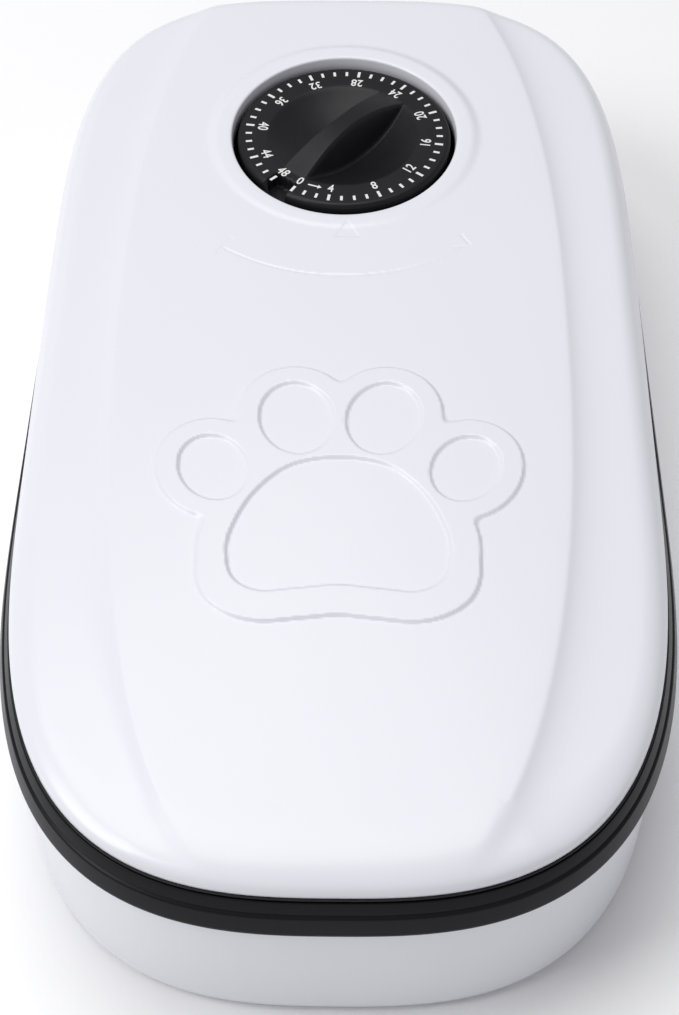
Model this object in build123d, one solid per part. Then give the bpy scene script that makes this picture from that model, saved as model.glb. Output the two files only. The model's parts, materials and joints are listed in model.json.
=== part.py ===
from build123d import *
from dataclasses import dataclass
from math import acos, atan2, cos, degrees, pi, radians, sin, sqrt, tan
import os

# One-meal pet feeder with a 48-hour timer.  Millimetres, +Z up, -Y is the rounded front.
# The origin is the centre of the feeder's box, on the surface that it stands on.

# ---------------------------------------------------------------- driving dimensions
HALF_WIDTH = 84.7            # widest half of the black rim
WIDEST_Y = -27.65            # the rim is widest a little in front of the middle
FRONT_REACH = 131.0          # from the widest line to the rim's front
BACK_REACH = 186.3           # from the widest line to the rim's back
FRONT_POWERS = (2.76, 3.35)  # roundness across and along, front half
BACK_POWERS = (3.43, 5.73)   # the back half is squarer

FOOT_DROP = 1.2              # the feet stand this far below the base
BASE_INSET = 3.1             # base wall inside the rim, at the floor
BASE_TOP_INSET = 2.0         # and just under the rim
BASE_WALL = 2.4
BASE_TOP_Z = 46.0
LIP_INSET = 7.6              # opening in the base's bottom lip
FLOOR_LIP_Z = 3.8            # top of the base's bottom lip
FLOOR_TOP_Z = 5.8            # top of the floor plate

RIM_LOW_Z = 40.7             # lower edge of the black rim
RIM_SKIRT = 1.8
DECK_LOW_Z = 46.6
DECK_TOP_Z = 50.2
SEAL_LOW_Z = 50.5            # the closed lid's seal stops just above the deck
SEAL_INNER_INSET = 7.6
LID_LOW_Z = 51.2
LID_INSET = 3.5              # lid edge inside the rim
LID_WALL = 2.2
LID_FRONT_Z = 56.5           # height of the lid's top at the front
LID_BACK_Z = 65.6            # and at the back
LID_ROUND = 4.0              # rounding of the lid's top edge
LID_DRAFT = 1.6              # the lid's wall leans in by this much over its height
PANEL_RISE = 0.9             # the lid's raised middle panel
PAW_RISE = 0.8

DIAL_Y = 88.9                # the dial's axis stands over this point on the centre line
DIAL_R = 30.6
DIAL_FACE_Z = 64.9
DISH_R = 21.7                # round dish in the dial's face
DISH_DEPTH = 5.5
GRIP_REACH = 22.6            # half length of the grip bar across the dish
GRIP_ARCH = 4.9              # the bar's middle stands this far above the face
GRIP_END = 4.3               # half width at its ends
GRIP_WAIST = 2.8             # and on top of its middle
GRIP_ROOT = 6.6              # and at the foot of its middle
DIAL_HOLE_R = 31.6
BEZEL_TOP_R = 36.5
BEZEL_FOOT_R = 40.0
BEZEL_Z = 65.3               # the bezel's top on the dial's axis
BEZEL_TILT = 3.2             # and its slope down to the front, in degrees
BEZEL_HEIGHT = 11.0
COLLAR_WALL = 1.8            # collar under the bezel, round the dial's edge
COLLAR_Z = (60.4, 62.8)
NOTCH_ANGLE = 40.0           # the dial's notch, to the left of the front
NOTCH_WIDTH = 7.4
NOTCH_INNER_R = 24.8
LATCH_TOP_Z = 59.2           # the latch plate hangs from the lid at this height
LATCH_PLATE = (34.4, 45.0, 17.0)   # from, to and width, measured from the dial's axis
LATCH_NECK = (27.0, 36.0, 5.2)
LATCH_SCREW_R = 40.0         # its screws' distance from the dial's axis
LATCH_SCREW_SPREAD = 5.0
LATCH_BOSS_TOP_Z = 62.4

HINGE_Y = 154.6
HINGE_Z = 47.3
HINGE_X = 24.0               # middle of each hinge slot
SLOT_WIDTH = 12.0
LUG_WIDTH = 6.0
PIN_R = 1.5
PIN_HALF_LENGTH = 11.6
KNUCKLE_R = 2.9
KNUCKLE_X = (18.3, 25.2)     # the knuckle shares its slot with the spring beside it

MODULE = 0.5                 # the clockwork's gears
PRESSURE_ANGLE = 25.0
SHAFT_TEETH = 60
PINION_TEETH = 12
WHEEL_TEETH = 48
GEAR_BACKLASH = 0.12
SHAFT_R = 3.0
SHAFT_TOP_Z = 57.6
ARBOR_R = 0.75               # arbors of the wheel and of the motor
ARBOR_Z = (28.0, 43.4)
RUNNING_GAP = 0.05
WHEEL_X = MODULE * (SHAFT_TEETH + PINION_TEETH) / 2
MOTOR_Y = DIAL_Y - MODULE * (WHEEL_TEETH + PINION_TEETH) / 2

TIMER_SIZE = (72.0, 58.0)
TIMER_LOW_Z = 27.0
TIMER_COVER_Z = 44.4
TIMER_WALL = 1.6
COVER_SIZE = (88.0, 58.0)
TIMER_SCREW_SPREAD = (40.0, 23.0)
CORE_Y = MOTOR_Y - 7.4       # the coil's axis
CORE_Z = (35.4, 37.4)
BOARD_LOW_Z = TIMER_LOW_Z + 2.0
BOARD_THICKNESS = 1.2

CELL_R = 7.1                 # one AA cell
CELL_LENGTH = 49.3
CELL_Z = 13.6
BAY_SIZE = (60.0, 17.0)
DOOR_SIZE = (64.0, 26.0, 1.6)
DOOR_TRAVEL = 7.0

FOOT_R = 6.5
FOOT_SINK = 1.4              # the feet sit this deep in the floor plate
FOOT_ROWS = (-112.0, 134.0)
FOOT_X = 44.0
SCREW_R = 1.45
SCREW_HOLE_R = 1.5
SCREW_HEAD_R = 2.9
POST_R = 4.5
POST_INSET = 12.5
POST_ROWS = (-92.0, 12.0, 118.0)


# ---------------------------------------------------------------- outlines and shells
@dataclass
class Oval:
    """Egg-shaped outline: (x/a)^p + (y/b)^q = 1 in front of and behind its widest line."""
    half_width: float
    widest_y: float
    front: float
    back: float
    front_powers: tuple
    back_powers: tuple

    def point(self, angle, inset):
        """Point at an angle in degrees from +X, moved inwards square to the outline."""
        across, along = cos(radians(angle)), sin(radians(angle))
        reach = self.back if along > 0 else self.front
        p, q = self.back_powers if along > 0 else self.front_powers
        low, high = 0.0, 2.0
        while high - low > 1e-7:
            middle = (low + high) / 2
            outside = abs(middle * across) ** p + abs(middle * along) ** q > 1
            low, high = (low, middle) if outside else (middle, high)
        u, v = low * across, low * along
        slope_x = p * abs(u) ** (p - 1) / self.half_width
        slope_y = q * abs(v) ** (q - 1) / reach
        size = sqrt(slope_x ** 2 + slope_y ** 2)
        x = self.half_width * u - inset * slope_x / size * (1 if across > 0 else -1)
        y = self.widest_y + reach * v - inset * slope_y / size * (1 if along > 0 else -1)
        return x, y

    def half_width_at(self, y):
        """Half the outline's width on the line y."""
        behind = y > self.widest_y
        reach = self.back if behind else self.front
        p, q = self.back_powers if behind else self.front_powers
        return self.half_width * (1 - (abs(y - self.widest_y) / reach) ** q) ** (1 / p)

    def face(self, inset, z, count=32):
        """Flat face inside the outline, at a height."""
        angles = [360 * (i + 0.5) / count for i in range(count)]
        points = [Vector(*self.point(angle, inset), z) for angle in angles]
        return make_face(Spline(*points, periodic=True))


RIM = Oval(HALF_WIDTH, WIDEST_Y, FRONT_REACH, BACK_REACH, FRONT_POWERS, BACK_POWERS)
BOWL = Oval(HALF_WIDTH - 15, WIDEST_Y, FRONT_REACH - 15, 66.0, FRONT_POWERS, (3.4, 3.4))
PANEL = Oval(60.0, 15.0, 180.0, 164.0, (2.4, 2.4), (2.4, 2.4))


def stack(oval, levels):
    """Solid through outlines given as (inset, height), from the lowest up."""
    return loft([oval.face(inset, z) for inset, z in levels], ruled=True)


def prism(oval, inset, low, high):
    return extrude(oval.face(inset, low), high - low)


def block(low, high):
    """Box between two corners."""
    size = [b - a for a, b in zip(low, high)]
    middle = [(a + b) / 2 for a, b in zip(low, high)]
    return Pos(*middle) * Box(*size)


def rod(x, y, low, high, radius):
    return Pos(x, y, (low + high) / 2) * Cylinder(radius, high - low)


def bar_x(y, z, low, high, radius):
    """Round bar along X."""
    return Pos((low + high) / 2, y, z) * Rot(0, 90, 0) * Cylinder(radius, high - low)


def tube(x, y, low, high, outer, inner):
    return rod(x, y, low, high, outer) - rod(x, y, low - 1, high + 1, inner)


def post_places():
    """Centres of the deck's screw posts, in the space between the bowl and the base wall."""
    places = []
    for y in POST_ROWS:
        x = RIM.half_width_at(y) - POST_INSET
        places += [(-x, y), (x, y)]
    return places


def below_lid_top(rise=0.0):
    """Everything under the lid's sloping top, raised or lowered by a step."""
    front_y, back_y = WIDEST_Y - FRONT_REACH, WIDEST_Y + BACK_REACH
    front_z, back_z = LID_FRONT_Z + rise, LID_BACK_Z + rise
    side = Polyline((front_y, 0), (back_y, 0), (back_y, back_z), (front_y, front_z), close=True)
    return extrude(Plane.YZ * make_face(side), HALF_WIDTH + 10, both=True)


# ---------------------------------------------------------------- base
def hinge_sides():
    return (-1, 1)


def slot_box(side, y_range, z_range, width=SLOT_WIDTH):
    """Box round one hinge slot."""
    x = side * HINGE_X
    low = (x - width / 2, y_range[0], z_range[0])
    high = (x + width / 2, y_range[1], z_range[1])
    return block(low, high)


def make_base_shell():
    round_low = FOOT_DROP
    outer = stack(RIM, [
        (BASE_INSET + 2.4, round_low),
        (BASE_INSET + 0.8, round_low + 0.8),
        (BASE_INSET, round_low + 2.8),
        (BASE_TOP_INSET, BASE_TOP_Z),
    ])
    hollow = stack(RIM, [
        (BASE_INSET + BASE_WALL, FLOOR_LIP_Z),
        (BASE_TOP_INSET + BASE_WALL, BASE_TOP_Z + 1),
    ])
    shell = outer - hollow - prism(RIM, LIP_INSET, 0, FLOOR_LIP_Z + 1)
    for side in hinge_sides():
        notch_width = SLOT_WIDTH + 2 * LUG_WIDTH + 0.4
        shell -= slot_box(side, (148, 160), (42.6, 47), notch_width)
    return shell


def make_floor_plate():
    plate = prism(RIM, LIP_INSET + 0.3, FOOT_DROP, FLOOR_LIP_Z)
    plate += prism(RIM, 6.0, FLOOR_LIP_Z, FLOOR_TOP_Z)
    for x, y in post_places():
        plate -= rod(x, y, 0, FLOOR_TOP_Z + 1, SCREW_HOLE_R + 0.1)
        plate -= rod(x, y, 0, FLOOR_LIP_Z, SCREW_HEAD_R + 0.4)
    for x, y in foot_places():
        plate -= rod(x, y, 0, FOOT_DROP + FOOT_SINK, FOOT_R + 0.05)
    length, width = BAY_SIZE
    plate -= Pos(0, DIAL_Y, 0) * Box(length, width, 40)
    recess_x, recess_y = DOOR_SIZE[0] / 2 + 0.3, DOOR_SIZE[1] / 2 + 0.3
    low = (-recess_x, DIAL_Y - recess_y, 0)
    high = (recess_x, DIAL_Y + recess_y + DOOR_TRAVEL, FOOT_DROP + DOOR_SIZE[2] + 0.4)
    plate -= block(low, high)
    return plate


def foot_places():
    return [(x, y) for y in FOOT_ROWS for x in (-FOOT_X, FOOT_X)]


def make_feet():
    feet = [rod(x, y, 0, FOOT_DROP + FOOT_SINK, FOOT_R) for x, y in foot_places()]
    edges = [foot.edges().sort_by(Axis.Z)[0] for foot in feet]
    return Compound([chamfer(edge, 0.5) for edge in edges])


def make_battery_door():
    length, width, thickness = DOOR_SIZE
    low_z = FOOT_DROP + 0.1
    low = (-length / 2, DIAL_Y - width / 2, low_z)
    door = block(low, (length / 2, DIAL_Y + width / 2, low_z + thickness))
    for i in range(5):
        y = DIAL_Y + 2 + 2 * i
        door -= block((-8, y, 0), (8, y + 0.8, low_z + 0.4))
    return door


def make_battery_box():
    length, width = BAY_SIZE
    top = CELL_Z + CELL_R + 2.2
    outer = block((-length / 2 - 1.4, DIAL_Y - width / 2 - 1.4, FLOOR_TOP_Z),
                  (length / 2 + 1.4, DIAL_Y + width / 2 + 1.4, top))
    inner = block((-length / 2, DIAL_Y - width / 2, 0), (length / 2, DIAL_Y + width / 2, top - 1.4))
    return outer - inner


def make_battery_cell():
    body = bar_x(DIAL_Y, CELL_Z, -CELL_LENGTH / 2, CELL_LENGTH / 2, CELL_R)
    nub = bar_x(DIAL_Y, CELL_Z, -CELL_LENGTH / 2 - 1.2, -CELL_LENGTH / 2 + 0.1, 2.7)
    return body + nub


def make_positive_contact():
    x = -CELL_LENGTH / 2 - 1.3
    plate = block((x - 0.5, DIAL_Y - 4, CELL_Z - 5), (x, DIAL_Y + 4, CELL_Z + 5))
    tab = block((-BAY_SIZE[0] / 2 + 0.1, DIAL_Y - 2, CELL_Z + 4.5), (x, DIAL_Y + 2, CELL_Z + 5))
    return plate + tab


def coil_spring(start, turns, pitch, coil_r, wire_r):
    """Helical spring along +X from a start point."""
    path = Helix(pitch=pitch, height=pitch * turns, radius=coil_r)
    section = Plane(origin=path @ 0, z_dir=path % 0) * Circle(wire_r)
    return Pos(*start) * Rot(0, 90, 0) * sweep(section, path=path, is_frenet=True)


def make_negative_contact():
    gap = BAY_SIZE[0] / 2 - CELL_LENGTH / 2
    plate_x = BAY_SIZE[0] / 2 - 0.6
    plate = block((plate_x, DIAL_Y - 5, CELL_Z - 5), (plate_x + 0.5, DIAL_Y + 5, CELL_Z + 5))
    spring = coil_spring((CELL_LENGTH / 2 + 0.7, DIAL_Y, CELL_Z), 3, (gap - 1.2) / 3, 3.2, 0.4)
    return plate + spring


# ---------------------------------------------------------------- deck, bowl and hinge
def make_deck_frame():
    outer = stack(RIM, [
        (0.0, RIM_LOW_Z), (0.0, 45.7), (0.4, 46.8), (1.2, 47.6), (3.0, 49.6), (4.2, DECK_TOP_Z),
    ])
    deck = outer - prism(RIM, RIM_SKIRT, RIM_LOW_Z - 1, BASE_TOP_Z + 0.1)
    deck -= prism(RIM, 5.0, RIM_LOW_Z - 1, DECK_LOW_Z)
    deck -= prism(BOWL, 3.0, 0, 60)
    deck -= prism(BOWL, 0.0, DECK_TOP_Z - 1.8, 60)
    for x, y in post_places():
        deck += rod(x, y, FLOOR_TOP_Z, DECK_LOW_Z + 0.5, POST_R)
        deck -= rod(x, y, FLOOR_TOP_Z - 1, FLOOR_TOP_Z + 12, SCREW_HOLE_R)
    for side in hinge_sides():
        deck += slot_box(side, (149.6, 156.4), (43.0, 47.0), SLOT_WIDTH + 2 * LUG_WIDTH)
        deck -= slot_box(side, (149.0, 157.8), (43.6, 52))
        deck -= slot_box(side, (157.0, 160), (46.0, 52))
        deck -= hinge_pin(side, PIN_HALF_LENGTH + 0.2, PIN_R)
    deck -= rod(0, DIAL_Y, 40, 60, 5.0)
    for x, y in timer_screw_places():
        deck -= rod(x, y, 40, DECK_TOP_Z - 0.8, 1.2)
    return deck


def make_food_bowl():
    rim = prism(BOWL, 0.3, DECK_TOP_Z - 1.8, DECK_TOP_Z - 0.2)
    low = 10.0
    body = stack(BOWL, [(22.0, low), (15.0, low + 2.0), (11.5, low + 7.0), (3.4, DECK_TOP_Z - 1.8)])
    inside = stack(BOWL, [
        (22.5, low + 1.8), (16.5, low + 3.4), (13.3, low + 8.0), (4.6, DECK_TOP_Z),
    ])
    return rim + body - inside


def hinge_pin(side, half_length, radius):
    middle = side * HINGE_X
    return bar_x(HINGE_Y, HINGE_Z, middle - half_length, middle + half_length, radius)


def make_hinge_pins():
    return Compound([hinge_pin(side, PIN_HALF_LENGTH, PIN_R - 0.02) for side in hinge_sides()])


def make_hinge_springs():
    """Torsion spring beside each knuckle: coil, short leg on the deck, long leg up to the lid."""
    springs = []
    coil_r, wire_r, turns, pitch = 2.15, 0.3, 5, 0.75
    for side in hinge_sides():
        start_x = HINGE_X + 1.6 if side > 0 else -HINGE_X - 1.6 - turns * pitch
        springs.append(coil_spring((start_x, HINGE_Y, HINGE_Z), turns, pitch, coil_r, wire_r))
    return Compound(springs)


# ---------------------------------------------------------------- lid
def paw_toes():
    """Centre, half width, half height and tilt of each toe."""
    inner, outer = (11.2, -19.5, 9.6, 12.2, 10.0), (31.9, -36.2, 8.7, 10.9, 20.0)
    toes = []
    for x, y, wide, tall, tilt in (inner, outer):
        toes += [(x, y, wide, tall, -tilt), (-x, y, wide, tall, tilt)]
    return toes


def paw_pad():
    """Main pad: a dome with a slightly hollow lower edge."""
    left, right = (-27.5, -64.0), (27.5, -64.0)
    top = ThreePointArc(left, (0, -32.7), right)
    corner_right = ThreePointArc(right, (26.0, -72.5), (18.5, -75.0))
    bottom = ThreePointArc((18.5, -75.0), (0, -73.0), (-18.5, -75.0))
    corner_left = ThreePointArc((-18.5, -75.0), (-26.0, -72.5), left)
    return make_face(top + corner_right + bottom + corner_left)


def paw_band():
    """Raised band of the paw relief, with the toes and the pad left low."""
    border = 5.6
    outside = offset(paw_pad(), border + 1.8)
    inside = paw_pad()
    for x, y, wide, tall, tilt in paw_toes():
        outside += Pos(x, y) * Rot(0, 0, tilt) * Ellipse(wide + border, tall + border)
        inside += Pos(x, y) * Rot(0, 0, tilt) * Ellipse(wide, tall)
    return outside - inside


def knuckle(side):
    """Moulded hinge knuckle at the lid's lower back edge."""
    low, high = sorted((side * KNUCKLE_X[0], side * KNUCKLE_X[1]))
    barrel = bar_x(HINGE_Y, HINGE_Z, low, high, KNUCKLE_R)
    arm = block((low, HINGE_Y - 2.6, HINGE_Z), (high, HINGE_Y + 0.5, LID_LOW_Z + 3))
    bore = bar_x(HINGE_Y, HINGE_Z, low - 1, high + 1, PIN_R + RUNNING_GAP)
    return barrel + arm - bore


def make_lid_body(wall_top):
    """Lid's outside: sloping top with a rounded edge, the middle panel and the paw relief."""
    outer = stack(RIM, [(LID_INSET, LID_LOW_Z), (LID_INSET + LID_DRAFT, wall_top)])
    body = outer & below_lid_top()
    upper = body.edges().filter_by(lambda edge: edge.center().Z > LID_LOW_Z + 1)
    body = fillet(upper.sort_by(SortBy.LENGTH)[-1], LID_ROUND)
    flat = stack(RIM, [
        (LID_INSET + LID_ROUND, LID_LOW_Z),
        (LID_INSET + LID_ROUND + LID_DRAFT, wall_top),
    ])
    panel = prism(PANEL, 0, LID_LOW_Z, wall_top) & flat
    body += panel & below_lid_top(PANEL_RISE)
    paw = extrude(Pos(0, 0, LID_LOW_Z) * paw_band(), wall_top - LID_LOW_Z)
    return body + (paw & below_lid_top(PANEL_RISE + PAW_RISE))


def make_bezel():
    """Flared ring round the dial's hole; its top slopes down to the front."""
    flare = Cone(BEZEL_TOP_R + BEZEL_HEIGHT, BEZEL_TOP_R, BEZEL_HEIGHT)
    ring = Pos(0, 0, -BEZEL_HEIGHT / 2) * (flare & Cylinder(BEZEL_FOOT_R, BEZEL_HEIGHT))
    return Pos(0, DIAL_Y, BEZEL_Z) * Rot(BEZEL_TILT, 0, 0) * ring


def make_lid_shell():
    wall_top = LID_BACK_Z + 6
    body = make_lid_body(wall_top) + make_bezel()
    hollow = stack(RIM, [
        (LID_INSET + LID_WALL, LID_LOW_Z - 1),
        (LID_INSET + LID_WALL + LID_DRAFT, wall_top),
    ])
    body -= hollow & below_lid_top(-LID_WALL)
    body += tube(0, DIAL_Y, *COLLAR_Z, DIAL_HOLE_R + COLLAR_WALL, DIAL_HOLE_R)
    body -= rod(0, DIAL_Y, 0, 80, DIAL_HOLE_R)
    for x, y in latch_screw_places():
        body += rod(x, y, LATCH_TOP_Z, LATCH_BOSS_TOP_Z, 2.6)
        body -= rod(x, y, LATCH_TOP_Z - 1, LATCH_BOSS_TOP_Z, 1.2)
    for side in hinge_sides():
        body += knuckle(side)
    return body


def make_lid_seal():
    foot = prism(RIM, LID_INSET - 0.4, SEAL_LOW_Z, LID_LOW_Z)
    foot -= prism(RIM, SEAL_INNER_INSET, SEAL_LOW_Z - 1, LID_LOW_Z + 1)
    upstand = prism(RIM, SEAL_INNER_INSET - 1.5, LID_LOW_Z, LID_LOW_Z + 2)
    upstand -= prism(RIM, SEAL_INNER_INSET, LID_LOW_Z - 1, LID_LOW_Z + 3)
    seal = foot + upstand
    for side in hinge_sides():
        seal -= slot_box(side, (151.7, 160), (40, 60))
    return seal


def notch_direction():
    return -sin(radians(NOTCH_ANGLE)), -cos(radians(NOTCH_ANGLE))


def radial_place(radius, sideways=0.0):
    """Point at a distance from the dial's axis along the notch, and to one side of it."""
    dx, dy = notch_direction()
    return radius * dx - sideways * dy, DIAL_Y + radius * dy + sideways * dx


def latch_screw_places():
    return [radial_place(LATCH_SCREW_R, side * LATCH_SCREW_SPREAD) for side in (-1, 1)]


def radial_block(inner, outer, width, low, high):
    """Box that points from the dial's axis along the notch."""
    length = outer - inner
    x, y = radial_place((inner + outer) / 2)
    turn = degrees(atan2(notch_direction()[1], notch_direction()[0]))
    return Pos(x, y, (low + high) / 2) * Rot(0, 0, turn) * Box(length, width, high - low)


def make_latch_tongue():
    """Plate under the lid whose tip reaches below the dial's edge through the notch."""
    plate = radial_block(*LATCH_PLATE, LATCH_TOP_Z - 1.6, LATCH_TOP_Z)
    neck = radial_block(*LATCH_NECK, LATCH_TOP_Z - 2.2, LATCH_TOP_Z - 0.6)
    tongue = plate + neck
    for x, y in latch_screw_places():
        tongue -= rod(x, y, 50, 70, 1.3)
    return tongue


def make_latch_screws():
    seat_z = LATCH_TOP_Z - 1.6
    return Compound([pan_screw(x, y, seat_z, 4.2, 1.1, 2.2, 1.2) for x, y in latch_screw_places()])


def pan_screw(x, y, seat_z, length, radius, head_r, head_height):
    """Screw that points up, with its head below the seat and a cross recess in the head."""
    head = rod(x, y, seat_z - head_height, seat_z, head_r)
    head = chamfer(head.edges().sort_by(Axis.Z)[0], head_height * 0.35)
    screw = head + rod(x, y, seat_z, seat_z + length, radius)
    for size in ((head_r, 0.5), (0.5, head_r)):
        screw -= Pos(x, y, seat_z - head_height) * Box(size[0], size[1], head_height)
    return screw


# ---------------------------------------------------------------- dial
def make_timer_dial():
    """Ring, dished face and an arched, waisted grip bar across the middle."""
    ring_low = DIAL_FACE_Z - 5.0
    cup_low = DIAL_FACE_Z - DISH_DEPTH - 2.0
    ring = rod(0, DIAL_Y, ring_low, DIAL_FACE_Z, DIAL_R)
    ring = fillet(ring.edges().sort_by(Axis.Z)[-1], 1.4)
    cup = Pos(0, DIAL_Y, (cup_low + ring_low) / 2) * Cone(18.0, 24.0, ring_low - cup_low)
    hub = rod(0, DIAL_Y, DECK_TOP_Z + 1.6, cup_low + 1.0, 6.0)
    dish_radius = (DISH_R ** 2 + DISH_DEPTH ** 2) / (2 * DISH_DEPTH)
    dish = Pos(0, DIAL_Y, DIAL_FACE_Z - DISH_DEPTH + dish_radius) * Sphere(dish_radius)
    dial = ring + cup + hub - dish + grip_bar()
    dial -= rod(0, DIAL_Y, 40, SHAFT_TOP_Z + 0.1, SHAFT_R + 0.02)
    dial -= tube(0, DIAL_Y, ring_low - 1, ring_low + 3.2, DIAL_R - 1.6, 24.4)
    dial -= radial_block(NOTCH_INNER_R, DIAL_R + 2, NOTCH_WIDTH, ring_low - 1, DIAL_FACE_Z + 1)
    return dial


def grip_outline(waist, z):
    """Outline of the grip bar at a height: wide ends, hollow sides."""
    reach = GRIP_REACH + 2
    right = ThreePointArc((reach, -GRIP_END), (0, -waist), (-reach, -GRIP_END))
    left = ThreePointArc((-reach, GRIP_END), (0, waist), (reach, GRIP_END))
    ends = Line((-reach, -GRIP_END), (-reach, GRIP_END)) + Line((reach, GRIP_END), (reach, -GRIP_END))
    return Pos(0, 0, z) * make_face(right + left + ends)


def grip_bar():
    low, high = DIAL_FACE_Z - DISH_DEPTH - 1.0, DIAL_FACE_Z + GRIP_ARCH
    bar = loft([grip_outline(GRIP_ROOT, low), grip_outline(GRIP_WAIST, high)], ruled=True)
    arch_radius = (GRIP_REACH ** 2 + GRIP_ARCH ** 2) / (2 * GRIP_ARCH)
    arch = Pos(0, 0, high - arch_radius) * Rot(90, 0, 0) * Cylinder(arch_radius, 40)
    bar = bar & arch & rod(0, 0, low, high + 1, GRIP_REACH + 1)
    turn = degrees(atan2(notch_direction()[1], notch_direction()[0]))
    return Pos(0, DIAL_Y, 0) * Rot(0, 0, turn) * bar


def make_dial_shaft():
    shaft = rod(0, DIAL_Y, 31.0, SHAFT_TOP_Z, SHAFT_R)
    shaft += rod(0, DIAL_Y, 31.0, 32.8, 4.5)
    shaft += rod(0, DIAL_Y, 28.0, 31.0, 1.5)
    return shaft


def make_bearing_bush():
    bush = tube(0, DIAL_Y, TIMER_COVER_Z, DECK_TOP_Z, 4.95, SHAFT_R + RUNNING_GAP)
    return bush + tube(0, DIAL_Y, DECK_TOP_Z, DECK_TOP_Z + 1.0, 7.0, SHAFT_R + RUNNING_GAP)


# ---------------------------------------------------------------- clockwork
def involute(angle):
    return tan(angle) - angle


def gear_face(teeth):
    """Involute spur gear outline with one tooth centred on +X."""
    pitch_r = MODULE * teeth / 2
    base_r = pitch_r * cos(radians(PRESSURE_ANGLE))
    tip_r, root_r = pitch_r + MODULE * 0.95, pitch_r - MODULE * 1.25
    half_pitch = pi / (2 * teeth) - GEAR_BACKLASH / (4 * pitch_r)
    start_r = max(base_r, root_r)
    flank = []
    for i in range(4):
        r = start_r + (tip_r - start_r) * i / 3
        flank.append((r, half_pitch + involute(radians(PRESSURE_ANGLE)) - involute(acos(base_r / r))))
    if root_r < base_r:
        flank.insert(0, (root_r, flank[0][1]))
    points = []
    for tooth in range(teeth):
        middle = 2 * pi * tooth / teeth
        points += [(r * cos(middle - a), r * sin(middle - a)) for r, a in flank]
        points += [(r * cos(middle + a), r * sin(middle + a)) for r, a in reversed(flank)]
    return make_face(Polyline(*points, close=True))


def spur_gear(x, y, low, high, teeth, bore, turn=0.0):
    """Gear on the axis (x, y), with one tooth turned to the angle."""
    gear = extrude(gear_face(teeth), high - low)
    gear -= rod(0, 0, -1, high - low + 1, bore)
    return Pos(x, y, low) * Rot(0, 0, turn) * gear


def make_shaft_gear():
    gear = spur_gear(0, DIAL_Y, 33.0, 35.4, SHAFT_TEETH, SHAFT_R + 0.02)
    for i in range(5):
        a = radians(36 + 72 * i)
        gear -= rod(9.3 * cos(a), DIAL_Y + 9.3 * sin(a), 30, 40, 2.6)
    return gear


def make_clutch_spring():
    """Dished washer that presses the shaft gear against the shaft's shoulder."""
    dish = Pos(0, DIAL_Y, 36.2) * Cone(7.5, 4.6, 1.6)
    hollow = Pos(0, DIAL_Y, 35.9) * Cone(7.5, 4.6, 1.6)
    return dish - hollow - rod(0, DIAL_Y, 30, 40, SHAFT_R + 0.05)


def make_clutch_collar():
    return tube(0, DIAL_Y, 37.0, 39.6, 5.4, SHAFT_R + 0.02)


def make_intermediate_gear():
    """Wheel and pinion moulded on one arbor."""
    pinion_turn = 180 + 180 / PINION_TEETH
    pinion = spur_gear(WHEEL_X, DIAL_Y, 31.8, 36.0, PINION_TEETH, 0.2, pinion_turn)
    wheel = spur_gear(WHEEL_X, DIAL_Y, 30.2, 31.8, WHEEL_TEETH, 0.2, -90)
    return pinion + wheel + rod(WHEEL_X, DIAL_Y, *ARBOR_Z, ARBOR_R)


def make_motor_rotor():
    """Motor pinion, magnet and arbor."""
    pinion_turn = 90 + 180 / PINION_TEETH
    pinion = spur_gear(WHEEL_X, MOTOR_Y, 29.8, 32.4, PINION_TEETH, 0.2, pinion_turn)
    magnet = rod(WHEEL_X, MOTOR_Y, 34.0, 38.6, 3.6)
    return pinion + magnet + rod(WHEEL_X, MOTOR_Y, *ARBOR_Z, ARBOR_R)


def pivot_places():
    """Arbor pivots of the wheel and of the motor."""
    return [(WHEEL_X, DIAL_Y), (WHEEL_X, MOTOR_Y)]


def make_timer_housing():
    length, width = TIMER_SIZE
    low = (-length / 2, DIAL_Y - width / 2, TIMER_LOW_Z)
    high = (length / 2, DIAL_Y + width / 2, TIMER_COVER_Z)
    case = block(low, high)
    case = fillet(case.edges().filter_by(Axis.Z), 4.0)
    room_low = (low[0] + TIMER_WALL, low[1] + TIMER_WALL, TIMER_LOW_Z + 2.0)
    room_high = (high[0] - TIMER_WALL, high[1] - TIMER_WALL, TIMER_COVER_Z + 1)
    room = fillet(block(room_low, room_high).edges().filter_by(Axis.Z), 2.4)
    case -= room
    case -= rod(0, DIAL_Y, TIMER_LOW_Z + 0.8, 40, 1.5 + RUNNING_GAP)
    for x, y in pivot_places():
        case -= rod(x, y, TIMER_LOW_Z + 0.8, 40, ARBOR_R + RUNNING_GAP)
    return case


def timer_screw_places():
    across, along = TIMER_SCREW_SPREAD
    return [(x, DIAL_Y + y) for x in (-across, across) for y in (-along, along)]


def make_timer_cover():
    """Plate that hangs the clockwork under the deck and carries its upper bearings."""
    length, width = COVER_SIZE
    low = (-length / 2, DIAL_Y - width / 2, TIMER_COVER_Z)
    cover = block(low, (length / 2, DIAL_Y + width / 2, DECK_LOW_Z))
    cover = fillet(cover.edges().filter_by(Axis.Z), 4.0)
    for x, y in pivot_places():
        cover += rod(x, y, TIMER_COVER_Z - 1.8, TIMER_COVER_Z, 2.4)
        cover -= rod(x, y, TIMER_COVER_Z - 2.4, TIMER_COVER_Z, ARBOR_R + RUNNING_GAP)
    cover -= rod(0, DIAL_Y, 40, 50, 5.0)
    for x, y in timer_screw_places():
        cover -= rod(x, y, 40, 50, 1.3)
    return cover


def make_timer_screws():
    places = timer_screw_places()
    return Compound([pan_screw(x, y, TIMER_COVER_Z, 4.6, 1.15, 2.3, 1.5) for x, y in places])


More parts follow.
